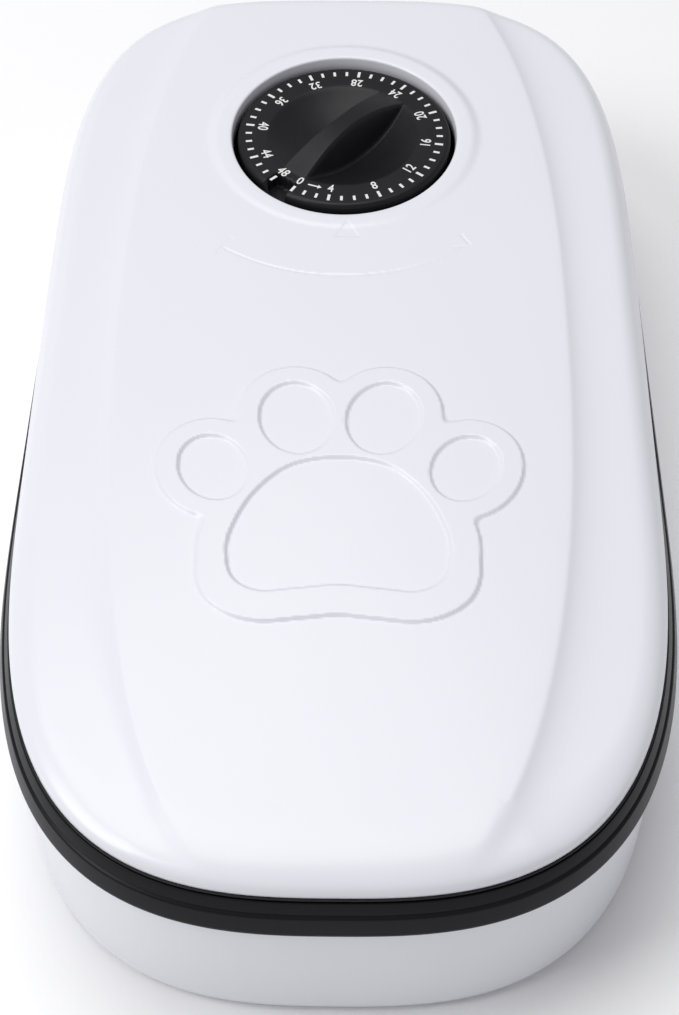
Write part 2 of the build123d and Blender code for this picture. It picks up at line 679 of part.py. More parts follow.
def make_deck_screws():
    places = post_places()
    return Compound([pan_screw(x, y, FLOOR_LIP_Z, 12.0, SCREW_R, SCREW_HEAD_R, 1.8) for x, y in places])


def make_motor_stator():
    """Iron core through the coil, with a yoke round the rotor's magnet."""
    low, high = CORE_Z
    yoke = tube(WHEEL_X, MOTOR_Y, low, high, 8.0, 4.4)
    core = block((-26, CORE_Y - 1, low), (WHEEL_X, CORE_Y + 1, high))
    return yoke + core


def make_motor_coil():
    z = sum(CORE_Z) / 2
    winding = bar_x(CORE_Y, z, -20, 4, 3.6)
    flanges = bar_x(CORE_Y, z, -21, -20, 4.2) + bar_x(CORE_Y, z, 4, 5, 4.2)
    return winding + flanges - block((-30, CORE_Y - 1.05, z - 1.05), (30, CORE_Y + 1.05, z + 1.05))


def make_circuit_board():
    board = block((-33, DIAL_Y - 2, BOARD_LOW_Z), (-9, DIAL_Y + 24, BOARD_LOW_Z + BOARD_THICKNESS))
    for y in (DIAL_Y + 2, DIAL_Y + 20):
        board -= rod(-30, y, 20, 40, 1.0)
    return board


def make_quartz_can():
    z = BOARD_LOW_Z + BOARD_THICKNESS + 1.05
    return bar_x(DIAL_Y + 19, z, -25, -18, 1.0) + bar_x(DIAL_Y + 19, z, -18, -15, 0.3)


def make_timer_chip():
    low = BOARD_LOW_Z + BOARD_THICKNESS
    return rod(-22, DIAL_Y + 9, low, low + 1.2, 3.6)


PARTS = {
    "base_shell": make_base_shell,
    "floor_plate": make_floor_plate,
    "rubber_feet": make_feet,
    "deck_screws": make_deck_screws,
    "battery_door": make_battery_door,
    "battery_box": make_battery_box,
    "battery_cell": make_battery_cell,
    "positive_contact": make_positive_contact,
    "negative_contact": make_negative_contact,
    "deck_frame": make_deck_frame,
    "food_bowl": make_food_bowl,
    "hinge_pins": make_hinge_pins,
    "hinge_springs": make_hinge_springs,
    "lid_shell": make_lid_shell,
    "lid_seal": make_lid_seal,
    "latch_tongue": make_latch_tongue,
    "latch_screws": make_latch_screws,
    "timer_dial": make_timer_dial,
    "dial_shaft": make_dial_shaft,
    "bearing_bush": make_bearing_bush,
    "shaft_gear": make_shaft_gear,
    "clutch_spring": make_clutch_spring,
    "clutch_collar": make_clutch_collar,
    "intermediate_gear": make_intermediate_gear,
    "motor_rotor": make_motor_rotor,
    "motor_stator": make_motor_stator,
    "motor_coil": make_motor_coil,
    "timer_housing": make_timer_housing,
    "timer_cover": make_timer_cover,
    "timer_screws": make_timer_screws,
    "circuit_board": make_circuit_board,
    "quartz_can": make_quartz_can,
    "timer_chip": make_timer_chip,
}

os.makedirs("parts", exist_ok=True)
for name, make in PARTS.items():
    export_step(make(), f"parts/{name}.step")
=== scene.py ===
"""Looks of the pet feeder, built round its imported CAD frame. Lengths are millimetres until a mesh is
made."""

import json
import math

import bmesh
import bpy
import numpy as np
from mathutils import Matrix, Vector
from mathutils.geometry import delaunay_2d_cdt


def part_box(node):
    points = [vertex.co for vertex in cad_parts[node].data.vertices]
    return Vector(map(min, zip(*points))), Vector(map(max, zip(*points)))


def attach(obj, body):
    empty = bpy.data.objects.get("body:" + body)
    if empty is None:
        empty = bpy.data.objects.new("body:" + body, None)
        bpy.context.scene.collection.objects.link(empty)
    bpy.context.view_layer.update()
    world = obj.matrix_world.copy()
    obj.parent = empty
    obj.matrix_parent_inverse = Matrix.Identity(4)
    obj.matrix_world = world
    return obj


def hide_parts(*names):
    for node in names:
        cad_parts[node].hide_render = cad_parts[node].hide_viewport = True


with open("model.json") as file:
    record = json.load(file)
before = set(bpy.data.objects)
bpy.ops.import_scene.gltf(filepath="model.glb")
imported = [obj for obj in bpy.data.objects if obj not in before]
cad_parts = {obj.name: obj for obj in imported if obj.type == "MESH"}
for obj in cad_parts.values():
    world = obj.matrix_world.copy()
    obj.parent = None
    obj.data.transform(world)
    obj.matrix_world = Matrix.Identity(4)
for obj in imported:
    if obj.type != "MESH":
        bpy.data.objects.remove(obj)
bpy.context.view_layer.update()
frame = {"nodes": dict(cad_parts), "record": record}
MM = 0.001


def cad(node):
    """Lowest and highest corner of a CAD node in millimetres."""
    low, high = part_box(node)
    return np.array(low) / MM, np.array(high) / MM


# ------------------------------------------------------------------ driving dimensions
RIM_LOW, RIM_HIGH = cad("deck_frame")
HALF_WIDTH = RIM_HIGH[0]
FRONT_Y, BACK_Y = RIM_LOW[1], RIM_HIGH[1]
DECK_Z = RIM_HIGH[2]
DECK_LOW_Z = 46.7
DECK_INSET = 11.6            # the deck's plate starts here, and the rim's profile overlaps it a little
WIDEST_Y = -27.65
FRONT_POWERS = (2.76, 3.35)  # roundness of the outline across and along, front half
BACK_POWERS = (3.43, 5.73)   # the back half is squarer
OUTLINE_COUNT = 420
BAND_WAIST = 1.3             # the rim draws in by this much on each side, between these lines
BAND_WAIST_Y = (-80.0, 55.0)
BOWL_INSET = 15.0
BOWL_BACK = 66.0             # from the widest line to the bowl's back
BOWL_BACK_POWERS = (3.4, 3.4)
BOWL_COUNT = 300

LID_INSET = 3.5
LID_WALL = 2.2
LID_LOW_Z = 51.2
LID_SHOULDER_Z = 52.6        # the lid's edge stands upright to here before it rounds over
LID_FRONT_Z = 56.5
LID_BACK_Z = 65.6
PANEL_RISE = 0.9
PANEL_HALF_WIDTH, PANEL_WIDEST_Y, PANEL_FRONT, PANEL_BACK = 60.0, 15.0, 180.0, 164.0
PANEL_POWER = 2.4
COVE_DROP = 1.9              # how far the sides drop below the middle panel
COVE_LENGTH = 3.2
SIDE_ROUND = 7.0
FRONT_ROUND = 15.0

# Toes as (x, y, half width, half height, tilt in degrees)
TOES = [(11.2, -19.5, 9.6, 12.2, -10.0), (-11.2, -19.5, 9.6, 12.2, 10.0),
        (31.9, -36.2, 8.7, 10.9, -20.0), (-31.9, -36.2, 8.7, 10.9, 20.0)]
TOE_BORDER = 5.6
PAD_BORDER = 7.4
PAD_LOWER_BORDER = 9.0
PAW_RISE = 0.8
PAW_EASE = 1.1               # width over which the paw's steps rise

INDEX = np.array([(1.2, 54.0), (-2.4, 47.4), (4.8, 47.4)])   # pointer in front of the dial
INDEX_DEPTH = 0.11
ARROW_R = 56.4               # arc of the turning arrow round the dial's axis
ARROW_FROM, ARROW_TO = -36.0, 38.0
ARROW_LINES = [((-30.6, 46.8), (-34.4, 41.4)), ((34.9, 44.6), (30.6, 43.5)), ((34.9, 44.6), (32.6, 48.4))]
ARROW_HALF_WIDTH = 0.35
ARROW_DEPTH = 0.12
ENGRAVED_EASE = 0.5

DIAL_LOW, DIAL_HIGH = cad("timer_dial")
DIAL_Y = (DIAL_LOW[1] + DIAL_HIGH[1]) / 2
DIAL_R = (DIAL_HIGH[0] - DIAL_LOW[0]) / 2
DIAL_FACE_Z = 64.9
DIAL_LOW_Z = 59.9
DIAL_WALL = 1.9
DIAL_ROUND = 1.3
DIAL_COUNT = 400
BEZEL_Z = 65.3               # the bezel's top on the dial's axis; it slopes down to the front
BEZEL_SLOPE = 0.056
BEZEL_EDGE_R = 37.4
BEZEL_ROUND = 1.2
BEZEL_FLANK = 0.9            # fall of its outer flank for each millimetre outwards
HOLE_R = 31.7
HOLE_COUNT = 220
DISH_R = 21.7
DISH_DEPTH = 5.5
GRIP_REACH = 21.9
GRIP_ARCH = 4.9
GRIP_END = 4.3
GRIP_WAIST = 2.8
GRIP_POWER = 1.6             # how the grip widens from its waist to its ends
GRIP_FALL = 2.8              # fall of its sides for each millimetre outwards
NOTCH_ANGLE = math.radians(40.0)
NOTCH_DIRECTION = (-math.sin(NOTCH_ANGLE), -math.cos(NOTCH_ANGLE))
NOTCH_HALF_WIDTH = 3.7
NOTCH_INNER_R = 24.8
NOTCH_DEPTH = 4.4

HINGE_Y, HINGE_Z, HINGE_X = 154.6, 47.3, 24.0
SLOT_X = (HINGE_X - 6.0, HINGE_X + 6.0)
LUG_R = 2.5
LUG_X = ((12.0, 17.9), (30.1, 36.2))
KNUCKLE_R = 2.9
KNUCKLE_TOP_Z = 53.6
BOSS_R = 2.6
BOSS_DISTANCE = 40.0         # latch screws, from the dial's axis and to each side of the notch
BOSS_SPREAD = 5.0

PRINT_Z = DIAL_FACE_Z + 0.03
FIRST_TICK = 31.1            # angle of the zero tick from the front
TICK_STEP = 7.5
TICK_COUNT = 47
MAJOR_TICKS = [0] + list(range(3, 44, 4)) + [46]
MAJOR_SIZE = (2.4, 0.8)
MINOR_SIZE = (1.8, 0.75)
TICK_R = 27.4
NUMBER_R = 23.7
NUMBER_SIZE = 4.15
NUMBER_NARROWING = 0.82


# ------------------------------------------------------------------ outlines
def egg_outline(half_width, widest_y, front, back, front_powers, back_powers, count):
    """Points and outward normals, evenly spaced round an egg-shaped outline."""
    angle = np.linspace(0, 2 * np.pi, 6001)[:-1]
    across, along = np.cos(angle), np.sin(angle)
    behind = along > 0
    p = np.where(behind, back_powers[0], front_powers[0])
    q = np.where(behind, back_powers[1], front_powers[1])
    reach = np.where(behind, back, front)
    low, high = np.zeros_like(angle), np.full_like(angle, 2.0)
    for _ in range(40):
        middle = (low + high) / 2
        outside = np.abs(middle * across) ** p + np.abs(middle * along) ** q > 1
        low, high = np.where(outside, low, middle), np.where(outside, middle, high)
    points = np.stack([half_width * low * across, widest_y + reach * low * along], 1)
    slope = np.stack([
        np.sign(across) * p * np.abs(low * across) ** (p - 1) / half_width,
        np.sign(along) * q * np.abs(low * along) ** (q - 1) / reach,
    ], 1)
    normals = slope / np.linalg.norm(slope, axis=1)[:, None]
    return even_steps(points, normals, count)


def even_steps(points, normals, count):
    """The same closed line with its points evenly spaced."""
    closed = np.vstack([points, points[:1]])
    closed_normals = np.vstack([normals, normals[:1]])
    length = np.r_[0, np.cumsum(np.linalg.norm(np.diff(closed, axis=0), axis=1))]
    wanted = np.linspace(0, length[-1], count + 1)[:-1]
    spaced = np.stack([np.interp(wanted, length, closed[:, k]) for k in (0, 1)], 1)
    turned = np.stack([np.interp(wanted, length, closed_normals[:, k]) for k in (0, 1)], 1)
    return spaced, turned / np.linalg.norm(turned, axis=1)[:, None]


RIM = egg_outline(HALF_WIDTH, WIDEST_Y, WIDEST_Y - FRONT_Y, BACK_Y - WIDEST_Y,
                  FRONT_POWERS, BACK_POWERS, OUTLINE_COUNT)
BOWL = egg_outline(HALF_WIDTH - BOWL_INSET, WIDEST_Y, WIDEST_Y - FRONT_Y - BOWL_INSET, BOWL_BACK,
                   FRONT_POWERS, BOWL_BACK_POWERS, BOWL_COUNT)


def circle(radius, centre, count):
    """Points and outward normals of a circle."""
    angle = np.linspace(0, 2 * np.pi, count, endpoint=False)
    normals = np.stack([np.cos(angle), np.sin(angle)], 1)
    return np.array(centre) + radius * normals, normals


def dial_circle(radius, count):
    """Points of a circle round the dial's axis."""
    return circle(radius, (0, DIAL_Y), count)[0]


def rounded(corners, steps=5):
    """Closed profile from (inset, z, radius) corners, each eased by a short curve."""
    profile = []
    for i, (x, z, radius) in enumerate(corners):
        here = np.array([x, z])
        before = np.array(corners[i - 1][:2]) - here
        after = np.array(corners[(i + 1) % len(corners)][:2]) - here
        a, b = before / np.linalg.norm(before), after / np.linalg.norm(after)
        half = math.acos(np.clip(a @ b, -1, 1)) / 2
        if radius <= 0 or half > 1.55:
            profile.append(here)
            continue
        shorter = min(np.linalg.norm(before), np.linalg.norm(after))
        reach = min(radius / math.tan(half), 0.49 * shorter)
        for t in np.linspace(0, 1, steps):
            blend = (1 - t) ** 2 * (here + a * reach) + 2 * t * (1 - t) * here + t ** 2 * (here + b * reach)
            profile.append(blend)
    return np.array(profile)


# ------------------------------------------------------------------ meshes
def new_object(name, vertices, faces, smooth_angle=40):
    """Mesh object from millimetres."""
    mesh = bpy.data.meshes.new(name)
    mesh.from_pydata((np.asarray(vertices) * MM).tolist(), [], faces)
    mesh.validate()
    mesh.update()
    obj = bpy.data.objects.new(name, mesh)
    bpy.context.scene.collection.objects.link(obj)
    shade(obj, smooth_angle)
    return obj


def shade(obj, angle):
    """Smooth shading with sharp edges above an angle in degrees."""
    mesh = obj.data
    mesh.shade_smooth()
    mesh.set_sharp_from_angle(angle=math.radians(angle))


def sweep(name, outline, profile, smooth_angle=40):
    """Closed ring of a closed (inset, z) profile carried round an outline."""
    points, normals = outline
    rings, count = len(profile), len(points)
    vertices = np.empty((rings, count, 3))
    for i, (inset, z) in enumerate(profile):
        vertices[i, :, :2] = points - inset * normals
        vertices[i, :, 2] = z
    faces = []
    for i in range(rings):
        faces += ring_faces(i * count, ((i + 1) % rings) * count, count)
    obj = new_object(name, vertices.reshape(-1, 3), faces, smooth_angle)
    turn_outward(obj)
    return obj


def ring_faces(first, second, count):
    """Quads between two rings of vertices, each given by its first index."""
    following = [(j + 1) % count for j in range(count)]
    return [(first + j, first + k, second + k, second + j) for j, k in enumerate(following)]


def prism_faces(count):
    """Two caps and the side of a prism made from two rings of vertices."""
    caps = [tuple(reversed(range(count))), tuple(range(count, 2 * count))]
    return caps + ring_faces(0, count, count)


def turn_outward(obj):
    """Faces of a closed mesh look outward."""
    mesh = bmesh.new()
    mesh.from_mesh(obj.data)
    bmesh.ops.recalc_face_normals(mesh, faces=mesh.faces)
    mesh.to_mesh(obj.data)
    mesh.free()


def slab(name, outline_points, holes, low, high):
    """Flat plate with holes, from outlines given as point lists."""
    valid_faces_with_holes = 4
    loops = [outline_points] + holes
    flat, edges = [], []
    for loop in loops:
        start = len(flat)
        flat += [Vector(p) for p in loop]
        edges += [(start + i, start + (i + 1) % len(loop)) for i in range(len(loop))]
    result = delaunay_2d_cdt(flat, edges, [], valid_faces_with_holes, 1e-6)
    corners, triangles = result[0], result[2]
    xy = np.array([tuple(v) for v in corners])
    triangles = [t for t in triangles if keep_triangle(xy[list(t)].mean(0), outline_points, holes)]
    top = np.column_stack([xy, np.full(len(xy), high)])
    bottom = np.column_stack([xy, np.full(len(xy), low)])
    count = len(xy)
    faces = [tuple(t) for t in triangles]
    faces += [tuple(count + i for i in reversed(t)) for t in triangles]
    for a, b in border_edges(triangles):
        faces.append((b, a, count + a, count + b))
    return new_object(name, np.vstack([top, bottom]), faces)


def border_edges(triangles):
    """Directed edges that belong to one triangle only."""
    edges = {}
    for t in triangles:
        for i in range(len(t)):
            edges[(t[i], t[(i + 1) % len(t)])] = True
    return [(a, b) for a, b in edges if (b, a) not in edges]


def inside(points, loop):
    """Which points lie inside a closed loop."""
    points = np.atleast_2d(points)
    a, b = np.asarray(loop), np.roll(loop, -1, axis=0)
    result = np.zeros(len(points), bool)
    for start in range(0, len(points), 4000):
        x, y = points[start:start + 4000, 0, None], points[start:start + 4000, 1, None]
        crosses = (a[:, 1] > y) != (b[:, 1] > y)
        height = b[:, 1] - a[:, 1]
        safe = np.where(np.abs(height) < 1e-12, 1e-12, height)
        at = a[:, 0] + (y - a[:, 1]) * (b[:, 0] - a[:, 0]) / safe
        result[start:start + 4000] = (crosses & (x < at)).sum(1) % 2 == 1
    return result


def keep_triangle(centre, outline_points, holes):
    """Whether a triangle lies in the plate and not in one of its holes."""
    if not inside(centre, outline_points)[0]:
        return False
    return not any(inside(centre, hole)[0] for hole in holes)


def join(name, *objs):
    """One object from several."""
    for obj in bpy.context.selected_objects:
        obj.select_set(False)
    for obj in objs:
        obj.select_set(True)
    bpy.context.view_layer.objects.active = objs[0]
    bpy.ops.object.join()
    objs[0].name = name
    objs[0].select_set(False)
    return objs[0]


# ------------------------------------------------------------------ distances, in millimetres
def ellipse_distance(x, y, shape):
    """Signed distance, near enough, to a tilted ellipse: (x, y, half width, half height, tilt)."""
    cx, cy, wide, tall, tilt = shape
    c, s = math.cos(math.radians(tilt)), math.sin(math.radians(tilt))
    u, v = (x - cx) * c + (y - cy) * s, -(x - cx) * s + (y - cy) * c
    k0 = np.hypot(u / wide, v / tall)
    k1 = np.hypot(u / wide ** 2, v / tall ** 2)
    return k0 * (k0 - 1) / np.maximum(k1, 1e-9)


def panel_distance(x, y):
    """Signed distance, near enough, to the crease round the lid's middle panel."""
    a, p = PANEL_HALF_WIDTH, PANEL_POWER
    along = y - PANEL_WIDEST_Y
    b = np.where(along > 0, PANEL_BACK, PANEL_FRONT)
    u, v = np.abs(x) / a, np.abs(along) / b
    level = np.maximum(u ** p + v ** p, 1e-9)
    size = level ** (1 / p)
    slope = level ** (1 / p - 1) * np.hypot(u ** (p - 1) / a, v ** (p - 1) / b)
    return (size - 1) / np.maximum(slope, 1e-4)


def loop_distance(x, y, loop):
    """Signed distance to a closed loop of points, negative inside."""
    points = np.column_stack([np.ravel(x), np.ravel(y)])
    a, b = np.asarray(loop), np.roll(loop, -1, axis=0)
    edge = b - a
    size = (edge ** 2).sum(1)
    nearest = np.empty(len(points))
    for start in range(0, len(points), 4000):
        chunk = points[start:start + 4000, None]
        t = np.clip(((chunk - a) * edge).sum(2) / size, 0, 1)
        gap = chunk - a - t[..., None] * edge
        nearest[start:start + 4000] = np.sqrt((gap ** 2).sum(2).min(1))
    signed = np.where(inside(points, loop), -nearest, nearest)
    return signed.reshape(np.shape(x))


def smooth_min(a, b, size):
    """The smaller of two, with the corner between them rounded."""
    h = np.clip(0.5 + 0.5 * (b - a) / size, 0, 1)
    return b + (a - b) * h - size * h * (1 - h)


def step(distance, width):
    """1 inside a contour and 0 outside, eased over a width."""
    t = np.clip(0.5 - distance / width, 0, 1)
    return t * t * (3 - 2 * t)


# ------------------------------------------------------------------ the lid's top
def pad_outline():
    """Main pad: a broad dome over a slightly hollow lower edge, with rounded lower corners."""
    knots = [(-27.5, -64.0), (-26.6, -56.0), (-21.5, -44.5), (-12.5, -35.4), (0, -32.7), (12.5, -35.4),
             (21.5, -44.5), (26.6, -56.0), (27.5, -64.0), (25.6, -71.2), (19.5, -75.0), (9.5, -74.2),
             (0, -73.2), (-9.5, -74.2), (-19.5, -75.0), (-25.6, -71.2)]
    return smooth_loop(np.array(knots), 12)


def smooth_loop(knots, steps):
    """Closed Catmull-Rom curve through the knots."""
    points = []
    count = len(knots)
    for i in range(count):
        a, b, c, d = (knots[(i + k) % count] for k in (-1, 0, 1, 2))
        for t in np.arange(steps) / steps:
            points.append(0.5 * (2 * b + (c - a) * t + (2 * a - 5 * b + 4 * c - d) * t ** 2
                                 + (3 * b - a - 3 * c + d) * t ** 3))
    return np.array(points)


PAD = pad_outline()


def paw_distances(x, y):
    """Signed distances to the paw's outer outline and to its toes and pad."""
    pad = np.full(np.shape(x), 99.0)
    near = (np.abs(x) < 55) & (y > -95) & (y < 10)
    pad[near] = loop_distance(x[near], y[near], PAD)
    toes = [ellipse_distance(x, y, toe) for toe in TOES]
    inner = np.minimum.reduce([pad] + toes)
    lower = np.clip((-66.0 - y) / 12.0, 0, 1)
    outer = pad - PAD_BORDER - (PAD_LOWER_BORDER - PAD_BORDER) * lower
    for toe in toes:
        outer = smooth_min(outer, toe - TOE_BORDER, 3.0)
    return outer, inner


def arrow_distance(x, y):
    """Distance to the turning arrow engraved round the dial: an arc, a tick and an arrowhead."""
    radius = np.hypot(x, y - DIAL_Y)
    angle = np.degrees(np.arctan2(x, DIAL_Y - y))
    past_end = np.maximum(np.maximum(ARROW_FROM - angle, angle - ARROW_TO), 0)
    arc = np.hypot(radius - ARROW_R, np.radians(past_end) * ARROW_R)
    return np.minimum.reduce([arc] + [segment_distance(x, y, a, b) for a, b in ARROW_LINES])


def segment_distance(x, y, a, b):
    """Distance to a straight line between two points."""
    edge = np.subtract(b, a)
    t = np.clip(((x - a[0]) * edge[0] + (y - a[1]) * edge[1]) / (edge @ edge), 0, 1)
    return np.hypot(x - a[0] - t * edge[0], y - a[1] - t * edge[1])


def lid_features(x, y):
    """Everything that the lid's height depends on."""
    outer, inner = paw_distances(x, y)
    return {
        "crease": panel_distance(x, y),
        "paw_outer": outer, "paw_inner": inner,
        "arrow": arrow_distance(x, y),
        "index": loop_distance(x, y, INDEX),
        "radius": np.hypot(x, y - DIAL_Y),
    }


def bezel_top(y):
    """Height of the bezel's sloping top."""
    return BEZEL_Z + BEZEL_SLOPE * (y - DIAL_Y)


def lid_top(x, y):
    """Height of the lid's top surface away from its rounded edge."""
    f = lid_features(x, y)
    slope = (LID_BACK_Z - LID_FRONT_Z) / (BACK_Y - FRONT_Y)
    z = LID_FRONT_Z + PANEL_RISE + (y - FRONT_Y) * slope
    past = (f["crease"] + np.sqrt(f["crease"] ** 2 + 0.25)) / 2
    z = z - COVE_DROP * (1 - np.exp(-past / COVE_LENGTH))
    z = z + PAW_RISE * step(f["paw_outer"], PAW_EASE) * (1 - step(f["paw_inner"], PAW_EASE))
    z = z - ARROW_DEPTH * step(f["arrow"] - ARROW_HALF_WIDTH, ENGRAVED_EASE)
    edge = np.maximum(f["radius"] - (BEZEL_EDGE_R - BEZEL_ROUND), 0)
    outwards = np.where(edge < 2 * BEZEL_ROUND, edge ** 2 / (4 * BEZEL_ROUND), edge - BEZEL_ROUND)
    bezel = bezel_top(y) - outwards * BEZEL_FLANK
    z = -smooth_min(-z, -bezel, BEZEL_ROUND)
    return z - INDEX_DEPTH * step(f["index"], ENGRAVED_EASE)


def lid_pitch(x, y):
    """Grid spacing that the lid's surface needs at each place."""
    f = lid_features(x, y)
    pitch = np.full(np.shape(x), 4.0)
    pitch = np.where((f["crease"] > -2) & (f["crease"] < 12), 2.0, pitch)
    pitch = np.where((f["crease"] > -1.5) & (f["crease"] < 5), 1.0, pitch)
    pitch = np.where(np.abs(f["crease"]) < 1.2, 0.5, pitch)
    near_paw = np.minimum(np.abs(f["paw_outer"]), np.abs(f["paw_inner"]))
    pitch = np.where(near_paw < 2.0, np.minimum(pitch, 1.0), pitch)
    pitch = np.where(near_paw < 1.0, 0.5, pitch)
    pitch = np.where(f["arrow"] < 1.2, 0.5, pitch)
    pitch = np.where(np.abs(f["index"]) < 0.8, 0.5, pitch)
    pitch = np.where((f["radius"] < 46) & (f["radius"] > 34), np.minimum(pitch, 1.0), pitch)
    return pitch


def dyadic_grid(low, high, coarse, finest, pitch_of, inside_region):
    """Points on nested square grids, each kept only where that fineness is needed."""
    levels = []
    pitch = coarse
    while pitch >= finest:
        xs = np.arange(math.floor(low[0] / coarse) * coarse, high[0] + pitch, pitch)
        ys = np.arange(math.floor(low[1] / coarse) * coarse, high[1] + pitch, pitch)
        x, y = (g.ravel() for g in np.meshgrid(xs, ys))
        if pitch < coarse:
            needed = pitch_of(x, y) <= pitch * 1.01
            x, y = x[needed], y[needed]
        keep = inside_region(x, y)
        levels.append(np.column_stack([x[keep], y[keep]]))
        pitch /= 2
    return np.unique(np.round(np.vstack(levels), 4), axis=0)


def edge_reach():
    """Width of the lid's rounded edge at each outline point: broad at the front, narrow elsewhere."""
    facing_front = np.clip((-RIM[1][:, 1] - 0.25) / 0.7, 0, 1)
    eased = facing_front ** 2 * (3 - 2 * facing_front)
    return SIDE_ROUND + (FRONT_ROUND - SIDE_ROUND) * eased


def lid_edge_rings(inner_wall):
    """Rings of (x, y, z) from the lid's lower edge up and over its rounded edge."""
    points, normals = RIM
    reach = edge_reach()
    start = LID_INSET + (LID_WALL if inner_wall else 0.0)
    drop = LID_WALL if inner_wall else 0.0
    end = LID_INSET + reach
    end_xy = points - end[:, None] * normals
    end_z = lid_top(end_xy[:, 0], end_xy[:, 1]) - drop
    shoulder = np.maximum(LID_SHOULDER_Z, end_z - 9.0)
    shoulder = np.minimum(shoulder, end_z - 2.0)
    rings = []
    for z in (LID_LOW_Z, LID_LOW_Z + 0.25, LID_LOW_Z + 0.8):
        lift = 0.3 if z == LID_LOW_Z and not inner_wall else 0.0
        xy = points - (start + lift) * normals
        rings.append(np.column_stack([xy, np.full(len(xy), z)]))
    for angle in np.radians(np.linspace(0, 90, 15)):
        inset = start + (end - start) * (1 - math.cos(angle))
        xy = points - inset[:, None] * normals
        local = lid_top(xy[:, 0], xy[:, 1]) - drop
        top = end_z + (local - end_z) * math.sin(angle) ** 2
        z = shoulder + (top - shoulder) * math.sin(angle)
        rings.append(np.column_stack([xy, z]))
    return rings


def hole_rings(inner_wall):
    """Rings from the bezel's rounded inner edge down the hole's wall."""
    if inner_wall:
        steps = [(HOLE_R + 3.2, LID_WALL), (HOLE_R + 2.6, LID_WALL + 0.3), (HOLE_R + 2.4, LID_WALL + 0.9)]
        foot = [(HOLE_R + 2.3, 60.3)]
    else:
        turn = np.radians(np.linspace(0, 90, 7))
        steps = [(HOLE_R + 1.2 - 0.7 * math.sin(a), 0.7 - 0.7 * math.cos(a)) for a in turn]
        steps += [(HOLE_R + 0.3, 1.6)]
        foot = [(HOLE_R + 0.1, 60.6), (HOLE_R + 0.3, 60.3)]
    rings = []
    for radius, depth in steps:
        xy = dial_circle(radius, HOLE_COUNT)
        rings.append(np.column_stack([xy, bezel_top(xy[:, 1]) - depth]))
    return rings + [with_height(dial_circle(radius, HOLE_COUNT), z) for radius, z in foot]


def lid_skin(inner_wall):
    """Outside or inside of the lid shell.

    Gives its vertices and faces, the last ring at its lower edge and in its hole, each as (first
    index, count), and how many vertices belong to the top sheet.
    """
    edge, hole = lid_edge_rings(inner_wall), hole_rings(inner_wall)
    border, hole_top = edge[-1][:, :2], hole[0][:, :2]
    pitch = (lambda x, y: np.full(np.shape(x), 4.0)) if inner_wall else lid_pitch
    xy, triangles = flat_sheet(border, hole_top, pitch, 4.0, 0.5, 0.6)
    sheet = np.column_stack([xy, lid_top(xy[:, 0], xy[:, 1]) - (LID_WALL if inner_wall else 0.0)])
    n, m = len(border), len(hole_top)
    sheet[n:n + m, 2] = hole[0][:, 2]
    parts = [sheet] + edge[:-1] + hole[1:]
    starts = [int(s) for s in np.cumsum([0] + [len(p) for p in parts])]
    edge_chain = starts[1:len(edge)] + [0]
    hole_chain = [n] + starts[len(edge):-1]
    faces = [tuple(int(i) for i in t) for t in triangles]
    for chain, count in ((edge_chain, n), (hole_chain, m)):
        for first, second in zip(chain, chain[1:]):
            faces += ring_faces(first, second, count)
    return np.vstack(parts), faces, (edge_chain[0], n), (hole_chain[-1], m), len(xy)


def surface_normals(xy, height, gap=0.04):
    """Unit normals of a height field from its slopes."""
    x, y = xy[:, 0], xy[:, 1]
    dx = (height(x + gap, y) - height(x - gap, y)) / (2 * gap)
    dy = (height(x, y + gap) - height(x, y - gap)) / (2 * gap)
    normals = np.column_stack([-dx, -dy, np.ones(len(x))])
    return normals / np.linalg.norm(normals, axis=1)[:, None]


def set_normals(obj, normals, count):
    """Exact shading normals for the first vertices; the others keep their own."""
    given = np.zeros((len(obj.data.vertices), 3))
    given[:count] = normals
    obj.data.normals_split_custom_set_from_vertices(given.tolist())


def make_lid():
    """Lid shell: its outside and inside, joined along the lower edge and round the hole."""
    outer = lid_skin(False)
    inner = lid_skin(True)
    vertices = np.vstack([outer[0], inner[0]])
    shift = len(outer[0])
    faces = [tuple(f) for f in outer[1]] + [tuple(shift + i for i in reversed(f)) for f in inner[1]]
    for (a, n), (b, _) in ((outer[2], inner[2]), (outer[3], inner[3])):
        faces += ring_faces(a, shift + b, n)
    lid = new_object("lid_top", vertices, faces, 50)
    turn_outward(lid)
    shade(lid, 50)
    count = outer[4]
    xy = outer[0][:count, :2]
    free = np.ones(count, bool)
    free[:OUTLINE_COUNT + HOLE_COUNT] = False
    normals = np.zeros((count, 3))
    normals[free] = surface_normals(xy[free], lid_top)
    set_normals(lid, normals, count)
    return lid


